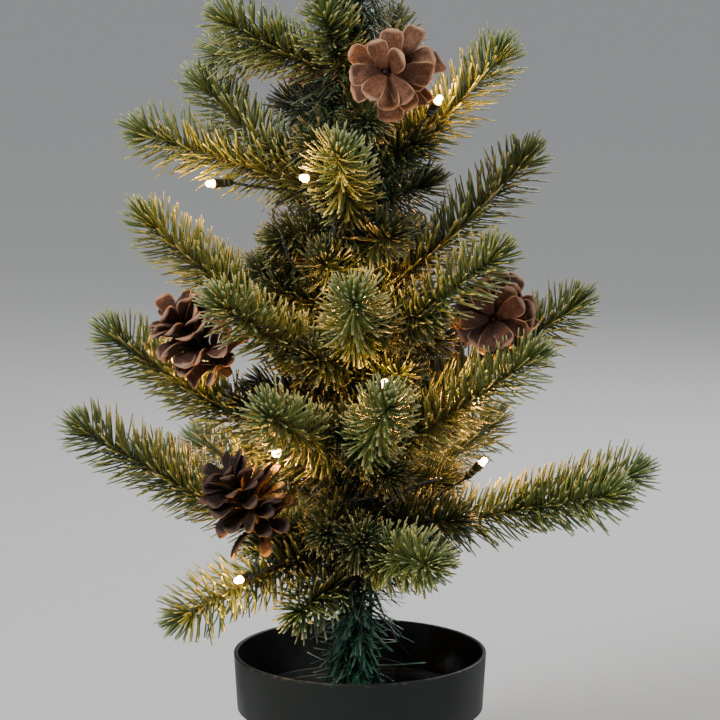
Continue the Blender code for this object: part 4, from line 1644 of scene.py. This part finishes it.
@dataclass
class LightString:
    """The light string: its supply cable of two twisted wires, and the lamps on their twisted leads."""

    socket_radius: float = 0.0026
    socket_length: float = 0.011
    socket_profile: tuple[tuple[float, float], ...] = (
        (0.0, 0.0), (0.0, 0.45), (0.0006, 0.62), (0.0016, 0.70), (0.0018, 0.82), (0.0030, 0.84),
        (0.0032, 0.74), (0.0042, 0.74), (0.0044, 0.86), (0.0056, 0.88), (0.0058, 0.78), (0.0068, 0.78),
        (0.0070, 0.92), (0.0102, 0.98), (0.0108, 1.0), (0.0110, 0.92), (0.0109, 0.70),
    )
    lens_radius: float = 0.0017
    lens_length: float = 0.0048
    lead_radius: float = 0.00042
    standoff: float = 0.0035
    tilt: float = 0.6
    sprig_radius: float = 0.0105
    bare_stem: float = 0.020
    swells: tuple[tuple[float, float], ...] = (
        (0.0, 0.30), (0.10, 0.75), (0.30, 1.0), (0.60, 0.95), (0.85, 0.62), (1.0, 0.20),
    )
    cable_wire_radius: float = 0.00062
    cable_twist: float = 0.010
    cable_start_x: float = 0.0295
    cable_in_pot: tuple[Point, ...] = (
        (0.0340, 0.0185, 0.060),
        (0.0365, 0.0175, 0.066),
        (0.0360, 0.0130, 0.078),
        (0.0310, 0.0050, 0.088),
        (0.0170, 0.0030, 0.097),
    )
    cable_on_trunk: tuple[tuple[float, float], ...] = (
        (30, -0.005), (31, 0.065), (34, 0.125), (36, 0.185), (34, 0.235), (36, 0.285), (36, 0.325),
    )
    cable_standoff: float = 0.0120
    loop_wire_radius: float = 0.00052
    front_loops: tuple[tuple[Point, ...], ...] = (
        (
            (-0.004, -0.012, 0.262), (-0.0113, -0.030, 0.2418), (-0.0139, -0.035, 0.2294),
            (-0.0195, -0.035, 0.2175), (-0.0274, -0.030, 0.2059), (-0.020, -0.012, 0.192),
        ),
        (
            (-0.012, -0.012, 0.258), (-0.0432, -0.030, 0.2438), (-0.0401, -0.035, 0.2294),
            (-0.0336, -0.030, 0.2122), (-0.016, -0.014, 0.200),
        ),
        (
            (-0.012, -0.012, 0.046), (-0.0265, -0.030, 0.0561), (-0.0190, -0.034, 0.0755),
            (-0.0079, -0.034, 0.0884), (0.0212, -0.030, 0.0938), (0.010, -0.010, 0.100),
        ),
        (
            (0.004, -0.012, 0.070), (0.0120, -0.034, 0.0850), (0.0290, -0.036, 0.0980),
            (0.0420, -0.026, 0.1000), (0.030, -0.010, 0.092),
        ),
    )
    glow_colour: Colour = (1.0, 0.41, 0.055)
    glow_power: float = 0.31

    def swell_at(self, length: float, share: float) -> float:
        """How thick a needled stem is at a share of its length."""
        bare = min(self.bare_stem / length, 0.5)
        places = [bare + at * (1 - bare) for at, _ in self.swells]
        return float(np.interp(share, places, [size * self.sprig_radius for _, size in self.swells]))

    def lead_path(self, lamp: LampPlace, limb: Limb) -> tuple[np.ndarray, np.ndarray]:
        """Where a lamp's lead runs, and the way that the lamp points at its end.

        Args:
            lamp: the lamp.
            limb: its host limb.

        Returns:
            The lead's points, and the lamp's unit direction.
        """
        stem = limb.stem()
        root, tip = stem.points[0], stem.points[-1]
        chord = float(np.linalg.norm(tip - root))
        turn = math.radians(lamp.side_deg)
        across = level_direction(limb.azimuth_deg + 90)
        side = across * math.cos(turn) + np.cross(unit(tip - root), across) * math.sin(turn)
        bare = min(self.bare_stem / chord, 0.5)
        shares = np.linspace(bare * 0.9, lamp.share, 14)
        swells = np.array([self.swell_at(chord, share) for share in shares])
        away = swells + self.standoff + lamp.rise * (shares / lamp.share) ** 2
        points = stem.at(shares) + side * away[:, None]
        along = unit(stem.at(lamp.share + 0.05) - stem.at(lamp.share))
        ahead = unit(along + side * self.tilt)
        return np.concatenate((points, [points[-1] + ahead * 0.0015])), ahead

    def add_twisted(self, sheaf: Sheaf, path: np.ndarray, radius: float, pitch: float) -> None:
        """Add two wires twisted round each other.

        Args:
            sheaf: what they are added to.
            path: the line that they follow.
            radius: each wire's radius.
            pitch: the length of one full twist.
        """
        length = float(np.linalg.norm(np.diff(path, axis=0), axis=1).sum())
        count = max(int(length / pitch * 10), 12)
        line = Path(path)
        shares = np.linspace(0, 1, count)
        points, headings = line.at(shares), line.heading(shares)
        side = unit(np.cross(headings, np.array((0.31, -0.87, 0.38))))
        over = np.cross(side, headings)
        for start in (0.0, math.pi):
            angle = (start + 2 * math.pi * length / pitch * shares)[:, None]
            add_tube(sheaf, points + (side * np.cos(angle) + over * np.sin(angle)) * radius, radius, 8)

    def build_lamp(self, lamp: LampPlace) -> None:
        """Build one lamp: its lead, its ribbed socket and its lens, with the glow that it throws."""
        limb = limb_named(lamp.limb)
        points, ahead = self.lead_path(lamp, limb)
        lead = Sheaf()
        self.add_twisted(lead, points, self.lead_radius, 0.006)
        place(lead.build(f"lamp_lead_{lamp.number}"), limb.body, "cable", FINISHES.of(CABLE))
        foot = points[-2]
        socket = self.turned_along(
            f"lamp_socket_{lamp.number}",
            foot,
            ahead,
            self.socket_profile,
            self.socket_radius,
        )
        place(socket, limb.body, "cable", FINISHES.of(SOCKET))
        dome = [(0.0, 0.0), (0.0, 1.18), (0.0008, 1.2), (0.0010, 1.0)]
        for step in range(9):
            angle = math.pi / 2 * step / 8
            along = self.lens_length - self.lens_radius + self.lens_radius * math.sin(angle)
            dome.append((along, math.cos(angle)))
        seat = foot + ahead * (self.socket_length - 0.0004)
        lens = self.turned_along(f"lamp_lens_{lamp.number}", seat, ahead, tuple(dome), self.lens_radius)
        place(lens, limb.body, "lamp", FINISHES.of(LENS), (f"led_lamp_{lamp.number}",))
        self.build_glow(lamp, limb, foot + ahead * (self.socket_length + self.lens_length * 0.75))

    def build_glow(self, lamp: LampPlace, limb: Limb, centre: np.ndarray) -> None:
        """Hang a small warm light round a lens, moving with its limb."""
        data = bpy.data.lights.new(f"lamp_glow_{lamp.number}", "POINT")
        data.energy = self.glow_power * lamp.glow
        data.color = self.glow_colour
        data.shadow_soft_size = 0.0035
        glow = bpy.data.objects.new(data.name, data)
        glow.location = centre + level_direction(-90) * lamp.glow_forward
        bpy.context.scene.collection.objects.link(glow)
        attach(glow, limb.body)

    def turned_along(
        self,
        name: str,
        foot: np.ndarray,
        ahead: np.ndarray,
        profile: tuple[tuple[float, float], ...],
        radius: float,
    ) -> bpy.types.Object:
        """A turned shape along a direction.

        Args:
            name: its name.
            foot: where it starts.
            ahead: the direction it runs in.
            profile: pairs of the distance from its foot and the share of its radius.
            radius: its full radius.

        Returns:
            The object.
        """
        sides = 20
        side = unit(np.cross(ahead, UP))
        over = np.cross(ahead, side)
        angles = np.linspace(0, 2 * math.pi, sides, endpoint=False)
        ring = np.outer(np.cos(angles), side) + np.outer(np.sin(angles), over)
        rings = [foot + ahead * along + ring * radius * max(wide, 0.004) for along, wide in profile]
        points = np.concatenate(rings)
        rows = np.arange(len(profile) - 1)[:, None] * sides
        corner = np.arange(sides)[None]
        after = (corner + 1) % sides
        quads = np.stack((rows + corner, rows + after, rows + sides + after, rows + sides + corner), axis=-1)
        last = (len(profile) - 1) * sides
        caps = [np.arange(sides)[None, ::-1], last + np.arange(sides)[None]]
        share = np.repeat(np.linspace(0, 1, len(profile)), sides)
        sheaf = Sheaf()
        tones, across = np.full(len(points), 0.5), np.zeros(len(points))
        sheaf.add(points, [quads.reshape(-1, 4), *caps], share, tones, across)
        return sheaf.build(name)

    def smooth(self, knots: list[np.ndarray], count: int) -> np.ndarray:
        """Points on a smooth curve through these knots.

        Args:
            knots: the places that it passes through.
            count: how many points it has.

        Returns:
            The points.
        """
        table = np.array([knots[0], *knots, knots[-1]])
        places = np.linspace(0, len(knots) - 1, count)
        index = np.minimum(places.astype(int), len(knots) - 2)
        share = (places - index)[:, None]
        first, second = table[index + 1], table[index + 2]
        slope_in, slope_out = (second - table[index]) / 2, (table[index + 3] - first) / 2
        cube, square = share**3, share**2
        ends = first * (2 * cube - 3 * square + 1) + second * (3 * square - 2 * cube)
        return ends + slope_in * (cube - 2 * square + share) + slope_out * (cube - square)

    def build_cable(self) -> None:
        """Build the supply cable, from the battery box up the trunk."""
        knots = [np.array((self.cable_start_x, *self.cable_in_pot[0][1:]))]
        knots += [np.array(point) for point in self.cable_in_pot]
        for turn_deg, height in self.cable_on_trunk:
            knots.append(on_axis(height) + level_direction(turn_deg) * self.cable_standoff)
        sheaf = Sheaf()
        self.add_twisted(sheaf, self.smooth(knots, 160), self.cable_wire_radius, self.cable_twist)
        place(sheaf.build("supply_cable"), STAND, "cable", FINISHES.of(CABLE), ("light_cable",))

    def build_loops(self) -> None:
        """Build the slack loops of thin wire that hang in front of the pole between lamps."""
        sheaf = Sheaf()
        for loop in self.front_loops:
            knots = [np.array(point) + UP * POT_HEIGHT for point in loop]
            self.add_twisted(sheaf, self.smooth(knots, 80), self.loop_wire_radius, 0.012)
        place(sheaf.build("wire_loops"), STAND, "cable", FINISHES.of(CABLE))

    def build(self) -> None:
        """Build the cable and every lamp."""
        self.build_cable()
        self.build_loops()
        for lamp in LAMPS:
            self.build_lamp(lamp)


# ---------------------------------------------------------------- pot, ballast and battery box
SHARP_EDGE_DEG = 40.0


def dress_node(name: str, finish: MottledFinish | CellFinish, edge: float) -> None:
    """Give a solid that stays its finish and softened edges.

    Args:
        name: the solid's name.
        finish: its finish.
        edge: how wide its softened edges are.
    """
    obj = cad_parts[name]
    obj.data.materials.clear()
    obj.data.materials.append(FINISHES.of(finish))
    bevel = obj.modifiers.new("soft_edges", "BEVEL")
    bevel.width = edge
    bevel.segments = 2
    bevel.limit_method = "ANGLE"
    bevel.angle_limit = math.radians(SHARP_EDGE_DEG)
    bevel.harden_normals = True
    LOG.info("%s is dressed in %s", name, finish.name)


@dataclass
class Pot:
    """The tapered pot with its wide rim band, and the cement cast in it."""

    rim_radius: float = 0.068
    band_height: float = 0.031
    band_taper: float = 0.0018
    step: float = 0.0035
    base_radius: float = 0.0475
    wall: float = 0.0022
    floor: float = 0.0030
    edge: float = 0.0007
    cement_top: float = 0.048

    def body_radius(self, height: float) -> float:
        """The tapered body's outer radius at a height."""
        neck = self.rim_radius - self.band_taper - self.step
        return self.base_radius + height / (POT_HEIGHT - self.band_height) * (neck - self.base_radius)

    def rounded(self, corners: list[tuple[float, float]]) -> list[tuple[float, float]]:
        """A profile with each inner corner cut to a small round."""
        line = [corners[0]]
        for before, here, after in zip(corners, corners[1:], corners[2:]):
            centre = np.array(here)
            ends = []
            for other in (before, after):
                away = np.array(other) - centre
                ends.append(centre + away / np.linalg.norm(away) * min(self.edge, np.linalg.norm(away) * 0.4))
            for share in np.linspace(0, 1, 5):
                point = ends[0] * (1 - share) ** 2 + centre * 2 * share * (1 - share) + ends[1] * share**2
                line.append((float(point[0]), float(point[1])))
        return [*line, corners[-1]]

    def build_pot(self) -> None:
        """Build the pot."""
        band_bottom = POT_HEIGHT - self.band_height
        band_radius = self.rim_radius - self.band_taper
        neck = self.body_radius(band_bottom)
        corners = [
            (0.0, self.floor),
            (self.body_radius(self.floor) - self.wall, self.floor),
            (neck - self.wall, band_bottom + self.wall),
            (band_radius - self.wall, band_bottom + 2 * self.wall),
            (self.rim_radius - self.wall, POT_HEIGHT),
            (self.rim_radius, POT_HEIGHT),
            (band_radius, band_bottom),
            (neck, band_bottom),
            (self.base_radius, 0.0),
            (self.base_radius - 0.004, 0.0),
            (self.base_radius - 0.005, 0.0012),
            (0.0, 0.0012),
        ]
        pot = lathe("pot_shell", self.rounded(corners), 128)
        place(pot, STAND, "pot", FINISHES.of(POT), ("pot",))
        # The inner faces take the lighter copy of the pot plastic: a painted highlight.
        pot.data.materials.append(FINISHES.of(POT_INSIDE_HIGHLIGHTED))
        for face in pot.data.polygons:
            centre, normal = face.center, face.normal
            inward = normal.x * centre.x + normal.y * centre.y < 0 and normal.z > -0.5
            inside = inward and self.floor / 2 < centre.z < POT_HEIGHT - self.edge
            face.material_index = int(inside)

    def build_cement(self) -> None:
        """Build the cast cement, with its uneven top drawn up a little at the pole."""
        inset = self.wall + 0.0006
        outer = self.body_radius(self.cement_top) - inset
        bottom = self.floor + 0.0003
        profile = [(0.0036, self.cement_top - 0.004)]
        for share in np.linspace(0, 1, 22):
            radius = 0.0040 + share * (outer - 0.0045)
            profile.append((radius, self.cement_top + 0.0002 * math.sin(share * 17.0) - 0.0010 * share))
        profile.append((outer, self.cement_top - 0.0016))
        profile.append((self.body_radius(bottom) - inset, bottom))
        profile.append((0.0036, bottom))
        cement = lathe("cement_block", profile, 96)
        shift = np.random.default_rng(3)
        for vert in cement.data.vertices:
            vert.co.x += TRUNK_X * max(0.0, 1 - math.hypot(vert.co.x, vert.co.y) / outer)
            vert.co.z += float(shift.normal(0, 0.00012)) if vert.co.z > self.cement_top * 0.9 else 0.0
        place(cement, STAND, "cement", FINISHES.of(CEMENT), ("base_weight",))

    def build(self) -> None:
        """Build the pot and its filling."""
        self.build_pot()
        self.build_cement()


@dataclass
class BatteryBox:
    """The battery box in the pot: its case, cover, cells, contacts and switch, as the solids give them."""

    edge: float = 0.0004
    cell_band: float = 0.006

    def build(self) -> None:
        """Dress every solid of the box."""
        for name in ("battery_case", "battery_cover"):
            dress_node(name, CASE, self.edge)
        dress_node("switch_slider", SWITCH, self.edge)
        for number in (1, 2):
            sleeve = CellFinish(
                f"cell_sleeve_{number}",
                (0.012, 0.014, 0.018),
                (0.42, 0.20, 0.075),
                (0.62, 0.61, 0.58),
                self.cell_band,
                number == 2,
            )
            dress_node(f"battery_{number}", sleeve, self.edge)
            dress_node(f"contact_plate_{number}", NICKEL, 0.00008)
            dress_node(f"contact_spring_{number}", NICKEL, 0.00005)
        dress_node("contact_bridge", NICKEL, 0.00008)


# ---------------------------------------------------------------- the whole tree
def write_sizes() -> None:
    """Log a fixed line in place of the model's sizes, which are not worked out here."""
    LOG.info("sizes written")


def main() -> None:
    """Build the studio and the tree."""
    logging.basicConfig(level=logging.INFO, format="%(message)s")
    Studio().build()
    for part in (Pot(), Trunk(), Sprigs(), Pinecones(), LightString(), BatteryBox()):
        part.build()
        LOG.info("%s is built", type(part).__name__)
    write_sizes()


if __name__ == "__main__":
    main()
